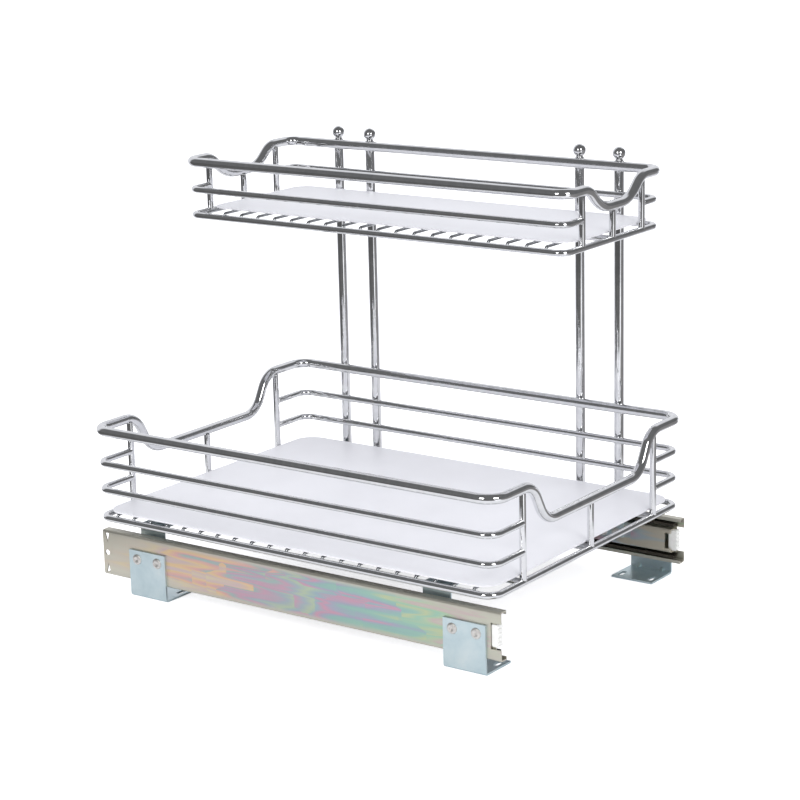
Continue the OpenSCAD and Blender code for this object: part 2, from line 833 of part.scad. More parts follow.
// Basket bracket on the +X side, its middle at y.
module basket_bracket(y, clamp_y) {
    difference() {
        translate([inner_web_x, y - basket_bracket_width / 2, top_face_z])
            rotate([-90, 0, 0])
                linear_extrude(basket_bracket_width)
                    angle_section(
                        top_flange_reach, basket_bracket_drop, basket_bend_r, basket_bracket_gauge
                    );
        for (s = [-1, 1]) {
            translate([
                inner_web_x - basket_bracket_gauge - cut_overrun,
                y + s * basket_rivet_spacing / 2,
                slide_centre_z
            ])
                rotate([0, 90, 0])
                    cylinder(
                        h = basket_bracket_gauge + 2 * cut_overrun,
                        d = rivet_d + 2 * shank_clearance
                    );
            translate([
                lower_runner_x + s * clamp_screw_offset,
                clamp_y,
                top_face_z - basket_bracket_gauge - cut_overrun
            ])
                cylinder(
                    h = basket_bracket_gauge + 2 * cut_overrun,
                    d = screw_d + 2 * shank_clearance
                );
        }
    }
}

// Rivets of one basket bracket, with tails inside the inner member.
module basket_rivet_pair(y) {
    for (s = [-1, 1])
        translate([
            inner_web_x - basket_bracket_gauge,
            y + s * basket_rivet_spacing / 2,
            slide_centre_z
        ])
            mirror([1, 0, 0])
                rivet(basket_bracket_gauge + slide_gauge);
    for (s = [-1, 1])
        translate([inner_web_x + slide_gauge, y + s * basket_rivet_spacing / 2, slide_centre_z])
            rotate([0, 90, 0])
                cylinder(h = rivet_tail_h, d = rivet_head_d);
}

// Saddle clamp that holds an outer runner down on a basket bracket.
module saddle_clamp(y) {
    inside = wire_r + clamp_clearance;
    outside = inside + clamp_gauge;
    difference() {
        translate([lower_runner_x, y + clamp_width / 2, lower_bottom_z])
            rotate([90, 0, 0])
                linear_extrude(clamp_width)
                    difference() {
                        union() {
                            circle(outside);
                            translate([-outside, -wire_r])
                                square([2 * outside, wire_r]);
                            translate([-clamp_half_span, -wire_r])
                                square([2 * clamp_half_span, clamp_gauge]);
                        }
                        circle(inside);
                        translate([-inside, -outside - cut_overrun])
                            square([2 * inside, outside + cut_overrun]);
                        translate([-outside - cut_overrun, -outside - cut_overrun])
                            square([2 * (outside + cut_overrun), outside + cut_overrun - wire_r]);
                    }
        for (s = [-1, 1])
            translate([
                lower_runner_x + s * clamp_screw_offset,
                y,
                top_face_z - cut_overrun
            ])
                cylinder(h = clamp_gauge + 2 * cut_overrun, d = screw_d + 2 * shank_clearance);
    }
}

// Slotted pan-head screw through a clamp foot and the bracket flange.
module clamp_screw(x, y) {
    translate([x, y, top_face_z])
        difference() {
            union() {
                translate([0, 0, -basket_bracket_gauge - screw_tail])
                    cylinder(
                        h = basket_bracket_gauge + screw_tail + clamp_gauge + screw_head_h / 2,
                        d = screw_d
                    );
                translate([0, 0, clamp_gauge])
                    cylinder(h = screw_head_h, d = screw_head_d);
            }
            translate([
                -screw_head_d / 2 - cut_overrun,
                -screw_slot_width / 2,
                clamp_gauge + screw_head_h - screw_slot_depth
            ])
                cube([
                    screw_head_d + 2 * cut_overrun,
                    screw_slot_width,
                    screw_slot_depth + cut_overrun
                ]);
        }
}

// One upright rod at position y.
module upright(y) {
    translate([upright_x, y, top_face_z])
        cylinder(h = upright_top_z - top_face_z, d = rim_d);
}

// Ball and neck on top of the upright at position y.
module finial(y) {
    translate([upright_x, y, upright_top_z])
        union() {
            cylinder(h = finial_neck_h, d = finial_neck_d);
            translate([0, 0, finial_neck_h])
                sphere(d = finial_d);
        }
}

module outer_member_left() {
    color(zinc_yellow)
        on_side(-1)
            outer_member_drilled();
}

module outer_member_right() {
    color(zinc_yellow)
        on_side(1)
            outer_member_drilled();
}

// Outer member with the four rivet holes for its floor brackets.
module outer_member_drilled() {
    difference() {
        outer_member();
        for (y = [-floor_y, floor_y])
            for (s = [-1, 1])
                translate([
                    slide_face_x - slide_gauge - cut_overrun,
                    y + s * floor_rivet_spacing / 2,
                    slide_centre_z
                ])
                    rotate([0, 90, 0])
                        cylinder(
                            h = slide_gauge + 2 * cut_overrun,
                            d = rivet_d + 2 * shank_clearance
                        );
    }
}

module floor_bracket_front_left() {
    color(zinc_blue)
        on_side(-1)
            floor_bracket(-floor_y);
}

module floor_bracket_rear_left() {
    color(zinc_blue)
        on_side(-1)
            floor_bracket(floor_y);
}

module floor_bracket_front_right() {
    color(zinc_blue)
        on_side(1)
            floor_bracket(-floor_y);
}

module floor_bracket_rear_right() {
    color(zinc_blue)
        on_side(1)
            floor_bracket(floor_y);
}

module floor_bracket_rivets() {
    color(steel)
        for (side = [-1, 1])
            on_side(side)
                for (y = [-floor_y, floor_y])
                    for (s = [-1, 1])
                        translate([floor_plate_x, y + s * floor_rivet_spacing / 2, slide_centre_z])
                            rivet(floor_bracket_gauge + slide_gauge);
}

module middle_member_left() {
    color(zinc_yellow)
        on_side(-1)
            middle_member();
}

module middle_member_right() {
    color(zinc_yellow)
        on_side(1)
            middle_member();
}

module front_bumper_left() {
    color(plastic_white)
        on_side(-1)
            front_bumper();
}

module front_bumper_right() {
    color(plastic_white)
        on_side(1)
            front_bumper();
}

module outer_cage_left() {
    color(steel)
        on_side(-1)
            cage(outer_cage_depth, cage_flange, outer_ball_h, outer_ball_depth);
}

module outer_cage_right() {
    color(steel)
        on_side(1)
            cage(outer_cage_depth, cage_flange, outer_ball_h, outer_ball_depth);
}

module outer_balls_left() {
    color(steel)
        on_side(-1)
            balls(outer_ball_h, outer_ball_depth);
}

module outer_balls_right() {
    color(steel)
        on_side(1)
            balls(outer_ball_h, outer_ball_depth);
}

module inner_cage_left() {
    color(steel)
        on_side(-1)
            cage(inner_cage_depth, inner_cage_flange, inner_ball_h, inner_ball_depth);
}

module inner_cage_right() {
    color(steel)
        on_side(1)
            cage(inner_cage_depth, inner_cage_flange, inner_ball_h, inner_ball_depth);
}

module inner_balls_left() {
    color(steel)
        on_side(-1)
            balls(inner_ball_h, inner_ball_depth);
}

module inner_balls_right() {
    color(steel)
        on_side(1)
            balls(inner_ball_h, inner_ball_depth);
}

module inner_member_left() {
    color(zinc_yellow)
        on_side(-1)
            inner_member();
}

module inner_member_right() {
    color(zinc_yellow)
        on_side(1)
            inner_member();
}

module basket_bracket_front_left() {
    color(zinc_blue)
        on_side(-1)
            basket_bracket(front_bracket_y, clamp_front_y);
}

module basket_bracket_rear_left() {
    color(zinc_blue)
        on_side(-1)
            basket_bracket(rear_bracket_y, clamp_rear_y);
}

module basket_bracket_front_right() {
    color(zinc_blue)
        on_side(1)
            basket_bracket(front_bracket_y, clamp_front_y);
}

module basket_bracket_rear_right() {
    color(zinc_blue)
        on_side(1)
            basket_bracket(rear_bracket_y, clamp_rear_y);
}

module basket_bracket_rivets() {
    color(steel)
        for (side = [-1, 1])
            on_side(side)
                for (y = [front_bracket_y, rear_bracket_y])
                    basket_rivet_pair(y);
}

module saddle_clamps() {
    color(zinc_blue)
        for (side = [-1, 1])
            on_side(side)
                for (y = [clamp_front_y, clamp_rear_y])
                    saddle_clamp(y);
}

module clamp_screws() {
    color(steel)
        for (side = [-1, 1])
            on_side(side)
                for (y = [clamp_front_y, clamp_rear_y])
                    for (s = [-1, 1])
                        clamp_screw(lower_runner_x + s * clamp_screw_offset, y);
}

module lower_top_rim() {
    color(chrome)
        dipped_rim(
            -lower_half_width, lower_half_width,
            lower_front_y - rim_outset, lower_rear_y + rim_outset, lower_top_z,
            lower_dip_depth, lower_dip_top, lower_dip_bottom,
            lower_top_corner_r, lower_crest_r, lower_trough_r, rim_d
        );
}

module lower_bottom_rim() {
    color(chrome)
        plain_rim(
            -lower_half_width, lower_half_width, lower_front_y, lower_rear_y, lower_bottom_z,
            lower_corner_r, wire_d
        );
}

// Side wire of the lower basket on side s at height z.
module lower_side_wire(s, z) {
    side_wire(
        s * lower_half_width, s * (lower_runner_x + wire_r - butt_bite),
        lower_front_y, lower_rear_y, z, lower_corner_r
    );
}

module lower_side_wire_upper_left() {
    color(chrome)
        lower_side_wire(-1, lower_side_upper_z);
}

module lower_side_wire_upper_right() {
    color(chrome)
        lower_side_wire(1, lower_side_upper_z);
}

module lower_side_wire_lower_left() {
    color(chrome)
        lower_side_wire(-1, lower_side_lower_z);
}

module lower_side_wire_lower_right() {
    color(chrome)
        lower_side_wire(1, lower_side_lower_z);
}

module lower_corner_posts() {
    color(chrome)
        for (x = [-lower_runner_x, lower_runner_x])
            post_pair(x, lower_front_y, lower_rear_y, lower_bottom_z, lower_top_z);
}

module lower_middle_posts() {
    color(chrome)
        post_pair(
            0, lower_front_y, lower_rear_y, lower_bottom_z,
            lower_top_z - lower_dip_depth
        );
}

module lower_runners() {
    color(chrome)
        for (x = [-lower_runner_x, 0, lower_runner_x])
            runner(x, lower_front_y, lower_rear_y, lower_bottom_z);
}

module lower_floor_wires() {
    color(chrome)
        floor_wires(
            -lower_half_width, lower_half_width, lower_front_y,
            lower_pitch, lower_floor_wire_count, lower_bottom_z
        );
}

module lower_liner() {
    color(liner_white)
        liner(
            -lower_half_width + liner_side_gap, lower_half_width - liner_side_gap,
            lower_front_y + liner_end_gap, lower_rear_y - liner_end_gap,
            lower_bottom_z + liner_lift, lower_liner_r
        );
}

module upright_front_first() {
    color(chrome)
        upright(front_pair_y - front_pair_gap / 2);
}

module upright_front_second() {
    color(chrome)
        upright(front_pair_y + front_pair_gap / 2);
}

module upright_rear_first() {
    color(chrome)
        upright(rear_pair_y - rear_pair_gap / 2);
}

module upright_rear_second() {
    color(chrome)
        upright(rear_pair_y + rear_pair_gap / 2);
}

module finials() {
    color(chrome)
        for (s = [-1, 1]) {
            finial(front_pair_y + s * front_pair_gap / 2);
            finial(rear_pair_y + s * rear_pair_gap / 2);
        }
}

module upper_top_rim() {
    color(chrome)
        dipped_rim(
            upper_inner_x, lower_half_width,
            upper_front_y - rim_outset, upper_rear_y + rim_outset, upper_top_z,
            upper_dip_depth, upper_dip_top, upper_dip_bottom,
            upper_top_corner_r, upper_crest_r, upper_trough_r, rim_d
        );
}

module upper_bottom_rim() {
    color(chrome)
        plain_rim(
            upper_inner_x, lower_half_width, upper_front_y, upper_rear_y, upper_bottom_z,
            upper_corner_r, wire_d
        );
}

module upper_side_wire_left() {
    color(chrome)
        side_wire(
            upper_inner_x, upper_middle_x - upper_post_offset - wire_r + butt_bite,
            upper_front_y, upper_rear_y, upper_side_z, upper_corner_r
        );
}

module upper_side_wire_right() {
    color(chrome)
        side_wire(
            lower_half_width, upper_middle_x + upper_post_offset + wire_r - butt_bite,
            upper_front_y, upper_rear_y, upper_side_z, upper_corner_r
        );
}

module upper_corner_posts() {
    color(chrome)
        for (s = [-1, 1])
            post_pair(
                upper_middle_x + s * upper_post_offset, upper_front_y, upper_rear_y,
                upper_bottom_z, upper_top_z
            );
}

module upper_middle_posts() {
    color(chrome)
        post_pair(
            upper_middle_x, upper_front_y, upper_rear_y, upper_bottom_z,
            upper_top_z - upper_dip_depth
        );
}

module upper_runner() {
    color(chrome)
        runner(upper_middle_x, upper_front_y, upper_rear_y, upper_bottom_z);
}

module upper_floor_wires() {
    color(chrome)
        floor_wires(
            upper_inner_x, lower_half_width, upper_front_y,
            upper_pitch, upper_floor_wire_count, upper_bottom_z
        );
}

module upper_liner() {
    color(liner_white)
        liner(
            upper_inner_x + upper_liner_inner_gap, lower_half_width - liner_side_gap,
            upper_front_y + liner_end_gap, upper_rear_y - upper_liner_rear_gap,
            upper_bottom_z + liner_lift, upper_liner_r
        );
}

outer_member_left();
outer_member_right();
floor_bracket_front_left();
floor_bracket_rear_left();
floor_bracket_front_right();
floor_bracket_rear_right();
floor_bracket_rivets();
middle_member_left();
middle_member_right();
front_bumper_left();
front_bumper_right();
outer_cage_left();
outer_cage_right();
outer_balls_left();
outer_balls_right();
inner_cage_left();
inner_cage_right();
inner_balls_left();
inner_balls_right();
inner_member_left();
inner_member_right();
basket_bracket_front_left();
basket_bracket_rear_left();
basket_bracket_front_right();
basket_bracket_rear_right();
basket_bracket_rivets();
saddle_clamps();
clamp_screws();
lower_top_rim();
lower_bottom_rim();
lower_side_wire_upper_left();
lower_side_wire_upper_right();
lower_side_wire_lower_left();
lower_side_wire_lower_right();
lower_corner_posts();
lower_middle_posts();
lower_runners();
lower_floor_wires();
lower_liner();
upright_front_first();
upright_front_second();
upright_rear_first();
upright_rear_second();
finials();
upper_top_rim();
upper_bottom_rim();
upper_side_wire_left();
upper_side_wire_right();
upper_corner_posts();
upper_middle_posts();
upper_runner();
upper_floor_wires();
upper_liner();
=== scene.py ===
import math
from types import SimpleNamespace

import bmesh
import bpy
from mathutils import Matrix, Vector


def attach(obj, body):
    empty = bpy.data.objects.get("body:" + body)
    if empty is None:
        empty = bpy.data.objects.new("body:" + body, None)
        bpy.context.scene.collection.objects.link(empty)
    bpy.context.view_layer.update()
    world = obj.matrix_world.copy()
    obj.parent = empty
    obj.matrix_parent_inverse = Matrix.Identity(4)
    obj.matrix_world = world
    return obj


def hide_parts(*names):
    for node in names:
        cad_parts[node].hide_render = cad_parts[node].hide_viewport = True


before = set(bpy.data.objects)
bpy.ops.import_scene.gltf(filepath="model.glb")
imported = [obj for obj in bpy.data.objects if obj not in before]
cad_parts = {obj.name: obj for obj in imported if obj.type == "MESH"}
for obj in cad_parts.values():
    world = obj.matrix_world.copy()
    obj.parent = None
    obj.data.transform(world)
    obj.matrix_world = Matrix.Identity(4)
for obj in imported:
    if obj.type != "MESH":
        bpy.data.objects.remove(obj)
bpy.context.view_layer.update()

MM = 0.001
X_WAY = Vector((1, 0, 0))
Y_WAY = Vector((0, 1, 0))
Z_WAY = Vector((0, 0, 1))

# Sizes are in millimetres, except where a comment says metres. They repeat those of the CAD model
# where it has the same form.

# Wires, and how deep one bites into another at their welds.
HALF_WIDTH = 161.2
RIM_D = 9.5
WIRE_D = 6.35
FLOOR_WIRE_D = 3.0
RIM_OUTSET = 2.7
HOOK_INSET = 1.6
HOOK_BEND_R = 2.2
WELD_BITE = 0.15
BUTT_BITE = 1.5
FLOOR_WELD_BITE = 0.4
FLOOR_LIFT = (WIRE_D + FLOOR_WIRE_D) / 2 - FLOOR_WELD_BITE

# Uprights and the balls on top of them.
UPRIGHT_X = HALF_WIDTH + (WIRE_D + RIM_D) / 2 - WELD_BITE
UPRIGHT_Y = {"front_first": -141.4, "front_second": -97.7, "rear_first": 151.0, "rear_second": 190.5}
UPRIGHT_RISE = 3.4
FINIAL_D = 12.5
FINIAL_NECK_D = 6.4
FINIAL_NECK_H = 7.7

# Slides and brackets.
SLIDE_CENTRE_Z = 37.5
SLIDE_FACE_X = 161.6
SLIDE_DEPTH = 12.7
SLIDE_GAUGE = 1.2
MIDDLE_WEB_X = 159.4
FLOOR_BRACKET_GAUGE = 2.0
FLOOR_BRACKET_Y = (-181.55, 181.55)
BASKET_BRACKET_GAUGE = 1.5
BASKET_BRACKET_Y = (-143.45, 185.65)

# Rivets. Each joins a bracket, with its head on that, to a slide member. Those of the basket
# brackets show a flattened tail inside the member.
RIVET_D = 4.8
RIVET_HEAD_D = 10.4
RIVET_HEAD_H = 1.4
RIVET_TAIL_H = 0.7
FLOOR_RIVET_SPACING = 25.0
FLOOR_RIVET_X = SLIDE_FACE_X + FLOOR_BRACKET_GAUGE
FLOOR_RIVET_GRIP = FLOOR_BRACKET_GAUGE + SLIDE_GAUGE
BASKET_RIVET_SPACING = 15.0
BASKET_RIVET_X = SLIDE_FACE_X - SLIDE_DEPTH - BASKET_BRACKET_GAUGE
BASKET_RIVET_GRIP = BASKET_BRACKET_GAUGE + SLIDE_GAUGE
BASKET_TAIL_X = BASKET_RIVET_X + BASKET_RIVET_GRIP

# Cheeks of the front bumpers, which the CAD model leaves out.
CHEEK_THICKNESS = 0.95
CHEEK_FRONT_Y = -214.0
CHEEK_REAR_Y = -208.05
CHEEK_HEIGHT = 20.2
CHEEK_CORNER_R = 1.3
CHEEK_EDGE_DROP = 0.2
CHEEK_EDGE_INSET = 0.25

# Fineness of the meshes.
ARC_STEP_DEGREES = 5
ARC_STEPS_AT_LEAST = 3
RING_SIDES = {RIM_D: 32, WIRE_D: 24, FLOOR_WIRE_D: 16}
FINIAL_SIDES = 32
FINIAL_STEPS = 24
RIVET_SIDES = 28
WELD_SIDES = 20
CHEEK_CORNER_STEPS = 6
WIRE_END_ROUND = 0.5
WIRE_END_STEPS = 4

# A cross product of unit vectors that is shorter than this has no direction.
NO_DIRECTION = 1e-9


def basket(post_spacing, **sizes):
    """Sizes of one basket, with its posts on both sides of its middle."""
    b = SimpleNamespace(**sizes)
    b.middle = (b.x0 + b.x1) / 2
    b.left_post = b.middle - post_spacing
    b.right_post = b.middle + post_spacing
    return b


# Heights of the side wires are listed by what their names add to "side_wire". The dips have wider
# arcs, crest and trough, than in the CAD model, and the upper dip is a little wider, as in the
# photograph.
LOWER = basket(
    x0=-HALF_WIDTH, x1=HALF_WIDTH, front=-210.6, rear=240.4, bottom=72.3, top=158.4,
    side_wires={"_lower": 100.0, "_upper": 126.3}, corner=13.0, top_corner=17.0,
    dip=38.1, dip_top=102.2, dip_bottom=81.8, crest=25.0, trough=27.0,
    post_spacing=113.4, floor_wires=21,
)
UPPER = basket(
    x0=-3.7, x1=HALF_WIDTH, front=-187.15, rear=244.3, bottom=341.6, top=394.2,
    side_wires={"": 367.0}, corner=10.0, top_corner=13.0,
    dip=20.3, dip_top=46.8, dip_bottom=24.6, crest=23.0, trough=38.0,
    post_spacing=53.0, floor_wires=20,
)
LOWER.runners = (LOWER.left_post, LOWER.middle, LOWER.right_post)
LOWER.runner_node = "lower_runners"
UPPER.runners = (UPPER.middle,)
UPPER.runner_node = "upper_runner"


# Shader nodes.

def linear(r, g, b):
    """Linear colour from an 8-bit display colour."""
    def one(c):
        c = c / 255
        return c / 12.92 if c <= 0.04045 else ((c + 0.055) / 1.055) ** 2.4
    return (one(r), one(g), one(b), 1.0)


class Nodes:
    """Adds nodes to one shader tree."""

    def __init__(self, tree):
        self.tree = tree

    def feed(self, socket, value):
        """Links another node's output to an input, or sets the input to a plain value."""
        if isinstance(value, bpy.types.NodeSocket):
            self.tree.links.new(value, socket)
        else:
            socket.default_value = value

    def add(self, kind, inputs, **settings):
        """New node with its settings and what feeds its inputs."""
        node = self.tree.nodes.new("ShaderNode" + kind)
        for key, value in settings.items():
            setattr(node, key, value)
        for key, value in inputs.items():
            self.feed(node.inputs[key], value)
        return node

    def math(self, operation, a, b=0.0):
        """Result of one operation on two values, or on the first of them."""
        return self.add("Math", {0: a, 1: b}, operation=operation).outputs[0]

    def dot(self, place, way):
        """How far a place or direction reaches along way."""
        node = self.add("VectorMath", {0: place, 1: way}, operation="DOT_PRODUCT")
        return node.outputs["Value"]

    def span(self, value, low, high, to_low=0.0, to_high=1.0):
        """Value stretched from low..high to to_low..to_high and clamped there."""
        node = self.add("MapRange", {
            "Value": value, "From Min": low, "From Max": high, "To Min": to_low, "To Max": to_high,
        })
        return node.outputs["Result"]

    def blend(self, share, a, b):
        """Colour a where share is 0 and b where it is 1."""
        return self.add("Mix", {0: share, 6: a, 7: b}, data_type="RGBA").outputs[2]

    def ramp(self, value, stops):
        """Colour ramp from (position, linear colour) pairs."""
        ramp = self.add("ValToRGB", {"Fac": value})
        elements = ramp.color_ramp.elements
        while len(elements) < len(stops):
            elements.new(0.5)
        for element, (place, colour) in zip(elements, stops):
            element.position = place
            element.color = colour
        return ramp.outputs["Color"]


class Material(Nodes):
    """Material around one principled shader, with procedural patterns in object coordinates."""

    # Most of a noise pattern lies between these values.
    NOISE_LOW = 0.3
    NOISE_HIGH = 0.7

    def __init__(self, name, **constants):
        self.mat = bpy.data.materials.new(name)
        self.mat.use_nodes = True
        super().__init__(self.mat.node_tree)
        self.bsdf = self.tree.nodes["Principled BSDF"]
        self.normal = None
        for key, value in constants.items():
            self.surface(key.replace("_", " "), value)

    def surface(self, name, value):
        """Sets or links one input of the shader."""
        self.feed(self.bsdf.inputs[name], value)

    def coords(self, stretch=(1, 1, 1)):
        """Object coordinates in metres, multiplied by stretch."""
        place = self.add("TexCoord", {}).outputs["Object"]
        return self.add("Mapping", {"Vector": place, "Scale": stretch}).outputs["Vector"]

    def noise(self, per_metre, detail, rough, stretch=(1, 1, 1), distortion=0.0):
        """Noise pattern with about so many marks per metre."""
        node = self.add("TexNoise", {
            "Vector": self.coords(stretch), "Scale": per_metre, "Detail": detail,
            "Roughness": rough, "Distortion": distortion,
        })
        return node.outputs["Fac"]

    def spread(self, pattern, low, high):
        """Pattern with the noise's usual range stretched to low..high."""
        return self.span(pattern, self.NOISE_LOW, self.NOISE_HIGH, low, high)

    def tint(self, pattern, dark, light):
        """Base colour that goes from dark to light, both 8-bit colours, with a noise pattern."""
        self.surface("Base Color", self.ramp(pattern, [
            (self.NOISE_LOW, linear(*dark)), (self.NOISE_HIGH, linear(*light)),
        ]))

    def roughness(self, pattern, low, high):
        """Roughness that goes from low to high with a noise pattern."""
        self.surface("Roughness", self.spread(pattern, low, high))

    def bump(self, pattern, strength, distance):
        """Adds a bump up to distance metres high on top of the bumps added before."""
        inputs = {"Height": pattern, "Strength": strength, "Distance": distance}
        if self.normal is not None:
            inputs["Normal"] = self.normal
        self.normal = self.add("Bump", inputs).outputs["Normal"]
        self.surface("Normal", self.normal)


# Materials.

def chrome_material():
    """Bright chrome plate on drawn wire: faint drawing waves, thin haze and handling smudges."""
    m = Material("chrome_plate", Metallic=1.0)
    m.tint(m.noise(140.0, detail=4.0, rough=0.6), (218, 219, 221), (233, 233, 234))
    m.roughness(m.noise(55.0, detail=5.0, rough=0.65), 0.03, 0.09)
    m.bump(m.noise(70.0, detail=2.0, rough=0.4), strength=0.10, distance=0.0012)
    m.bump(m.noise(900.0, detail=2.0, rough=0.5), strength=0.06, distance=0.0001)
    return m.mat


def shaded_thin_wire_material():
    """Chrome plate on the thin floor wires, duller than on the other wires and darker with painted
    shade.
    """
    m = Material("thin_wire_plate_painted_shade", Metallic=1.0)
    m.tint(m.noise(160.0, detail=4.0, rough=0.6), (160, 162, 165), (186, 188, 190))
    m.roughness(m.noise(90.0, detail=5.0, rough=0.65), 0.06, 0.16)
    m.bump(m.noise(110.0, detail=2.0, rough=0.4), strength=0.12, distance=0.0008)
    return m.mat


# Display colours of the film along the slide, from its front end at 0 to its rear end at 1.
OUTER_FILM_COLOURS = (
    (0.00, (204, 203, 188)), (0.05, (206, 190, 186)), (0.10, (190, 208, 178)),
    (0.15, (168, 206, 186)), (0.20, (198, 208, 170)), (0.25, (166, 202, 188)),
    (0.31, (162, 196, 190)), (0.36, (178, 180, 196)), (0.40, (212, 166, 184)),
    (0.44, (166, 188, 196)), (0.49, (190, 204, 178)), (0.54, (174, 188, 194)),
    (0.59, (206, 170, 186)), (0.63, (170, 192, 188)), (0.67, (222, 180, 176)),
    (0.72, (228, 202, 158)), (0.77, (212, 192, 190)), (0.83, (220, 207, 178)),
    (0.90, (214, 205, 190)), (1.00, (213, 209, 194)),
)
MIDDLE_FILM_COLOURS = (
    (0.00, (204, 201, 186)), (0.20, (186, 202, 188)), (0.35, (202, 186, 192)),
    (0.55, (188, 196, 192)), (0.75, (214, 200, 176)), (1.00, (208, 204, 188)),
)
INNER_FILM_COLOURS = (
    (0.00, (208, 202, 184)), (0.10, (206, 200, 184)), (0.15, (186, 200, 204)),
    (0.20, (208, 184, 196)), (0.26, (218, 194, 160)), (0.40, (206, 200, 180)),
    (0.60, (202, 194, 178)), (0.80, (206, 200, 180)), (1.00, (208, 204, 184)),
)

# Display colours of the edges: plain film, or painted shade in an intermediate member's raceways, a
# dark colour that stands for the shade deep inside them.
KHAKI = (204, 201, 188)
RACEWAY_SHADE = (80, 76, 68)

# Front and rear end of the film's colours, and how far from the slide's middle its edges begin
# and are complete, all in metres.
FILM_RUN = (-0.22, 0.24)
EDGE_SPAN = (0.0165, 0.0205)
# Raceways of the intermediate members: where their painted shade begins and where it is complete.
RACEWAY_SPAN = (0.0125, 0.0140)

# Share of the streaks' shift that the blocky patches add.
PATCH_SHARE = 0.4


def film_colour(m, colours, streaks):
    """Colour that drifts along the slide, shifted by long streaks and a few blocky patches."""
    along = m.span(m.add("SeparateXYZ", {"Vector": m.coords()}).outputs["Y"], *FILM_RUN)
    streak = m.noise(125.0, detail=1.5, rough=0.45, stretch=(1.0, 0.075, 1.0))
    patch = m.add("TexVoronoi", {
        "Vector": m.coords((1.0, 0.42, 1.0)), "Scale": 42.0, "Randomness": 1.0,
    }, distance="CHEBYCHEV")
    shade = m.add("SeparateColor", {"Color": patch.outputs["Color"]}).outputs["Red"]
    block = streaks * PATCH_SHARE
    drift = m.math("ADD", along, m.spread(streak, -streaks, streaks))
    drift = m.math("ADD", drift, m.spread(shade, -block, block))
    return m.ramp(drift, [(place, linear(*colour)) for place, colour in colours])


def film_material(name, colours, streaks, edge_colour=KHAKI, edge_span=EDGE_SPAN):
    """Yellow zinc passivate, an interference film, with one even colour along both edges: plain film,
    or painted shade in an intermediate member's raceways.
    """
    m = Material(name, Metallic=0.88)
    height = m.add("SeparateXYZ", {"Vector": m.coords()}).outputs["Z"]
    rise = m.math("ABSOLUTE", m.math("SUBTRACT", height, SLIDE_CENTRE_Z * MM))
    m.surface("Base Color", m.blend(
        m.span(rise, *edge_span), film_colour(m, colours, streaks), linear(*edge_colour)
    ))
    rolled = m.noise(900.0, detail=3.0, rough=0.6, stretch=(1.0, 0.02, 1.0))
    m.roughness(rolled, 0.31, 0.43)
    m.bump(rolled, strength=0.10, distance=0.0001)
    m.bump(m.noise(35.0, detail=2.0, rough=0.5, stretch=(1, 0.5, 1)), strength=0.10, distance=0.0006)
    return m.mat


def blue_zinc_material():
    """Pale blue zinc plate with soft crystalline mottling and a rolled grain."""
    m = Material("blue_zinc_plate", Metallic=0.85)
    cloud = m.noise(45.0, detail=4.0, rough=0.6, distortion=0.3)
    m.surface("Base Color", m.ramp(cloud, [
        (0.30, linear(194, 212, 217)), (0.5, linear(204, 220, 224)), (0.72, linear(214, 226, 228)),
    ]))
    grain = m.noise(700.0, detail=3.0, rough=0.6, stretch=(1, 0.1, 1))
    m.roughness(grain, 0.28, 0.40)
    m.bump(grain, strength=0.12, distance=0.0001)
    m.bump(m.noise(60.0, detail=2.0, rough=0.5), strength=0.08, distance=0.0006)
    return m.mat


def bright_steel_material(name, dark, light, smoothest, per_metre):
    """Turned or rolled steel with fine random marks."""
    m = Material(name, Metallic=1.0)
    marks = m.noise(per_metre, detail=4.0, rough=0.6)
    m.tint(marks, dark, light)
    m.roughness(marks, smoothest, smoothest + 0.12)
    m.bump(marks, strength=0.15, distance=0.0002)
    return m.mat


def liner_material():
    """Satin polypropylene sheet with a fine embossed grain and slight waviness."""
    m = Material("liner_sheet", Roughness=0.38, Specular_IOR_Level=0.4)
    m.tint(m.noise(12.0, detail=3.0, rough=0.5), (230, 230, 234), (236, 236, 240))
    m.bump(m.noise(1600.0, detail=2.0, rough=0.6), strength=0.10, distance=0.0001)
    m.bump(m.noise(9.0, detail=1.0, rough=0.4, stretch=(1, 1, 0)), strength=0.10, distance=0.002)
    return m.mat


def bumper_material():
    """White moulded nylon with a slightly warm mottled surface."""
    m = Material("bumper_nylon")
    cloud = m.noise(180.0, detail=3.0, rough=0.6)
    m.tint(cloud, (224, 224, 220), (236, 236, 233))
    m.roughness(cloud, 0.38, 0.5)
    m.bump(cloud, strength=0.10, distance=0.0002)
    return m.mat


CHROME = chrome_material()
# The floor wires' chrome is a darker copy of the plate: painted shade for the wires under the liner.
SHADED_THIN_CHROME = shaded_thin_wire_material()
OUTER_FILM = film_material("slide_film", OUTER_FILM_COLOURS, 0.11)
# Intermediate members: their raceways get painted shade, a dark colour standing for the shade deep
# inside them.
MIDDLE_FILM = film_material("middle_slide_film", MIDDLE_FILM_COLOURS, 0.10, RACEWAY_SHADE, RACEWAY_SPAN)
INNER_FILM = film_material("inner_slide_film", INNER_FILM_COLOURS, 0.08)
BLUE_ZINC = blue_zinc_material()
RIVET_STEEL = bright_steel_material("rivet_steel", (212, 209, 205), (236, 233, 228), 0.36, 400.0)
CAGE_STEEL = bright_steel_material("retainer_steel", (154, 154, 149), (172, 172, 166), 0.32, 250.0)
BALL_STEEL = bright_steel_material("ball_steel", (192, 192, 192), (214, 214, 214), 0.08, 300.0)
LINER = liner_material()
NYLON = bumper_material()

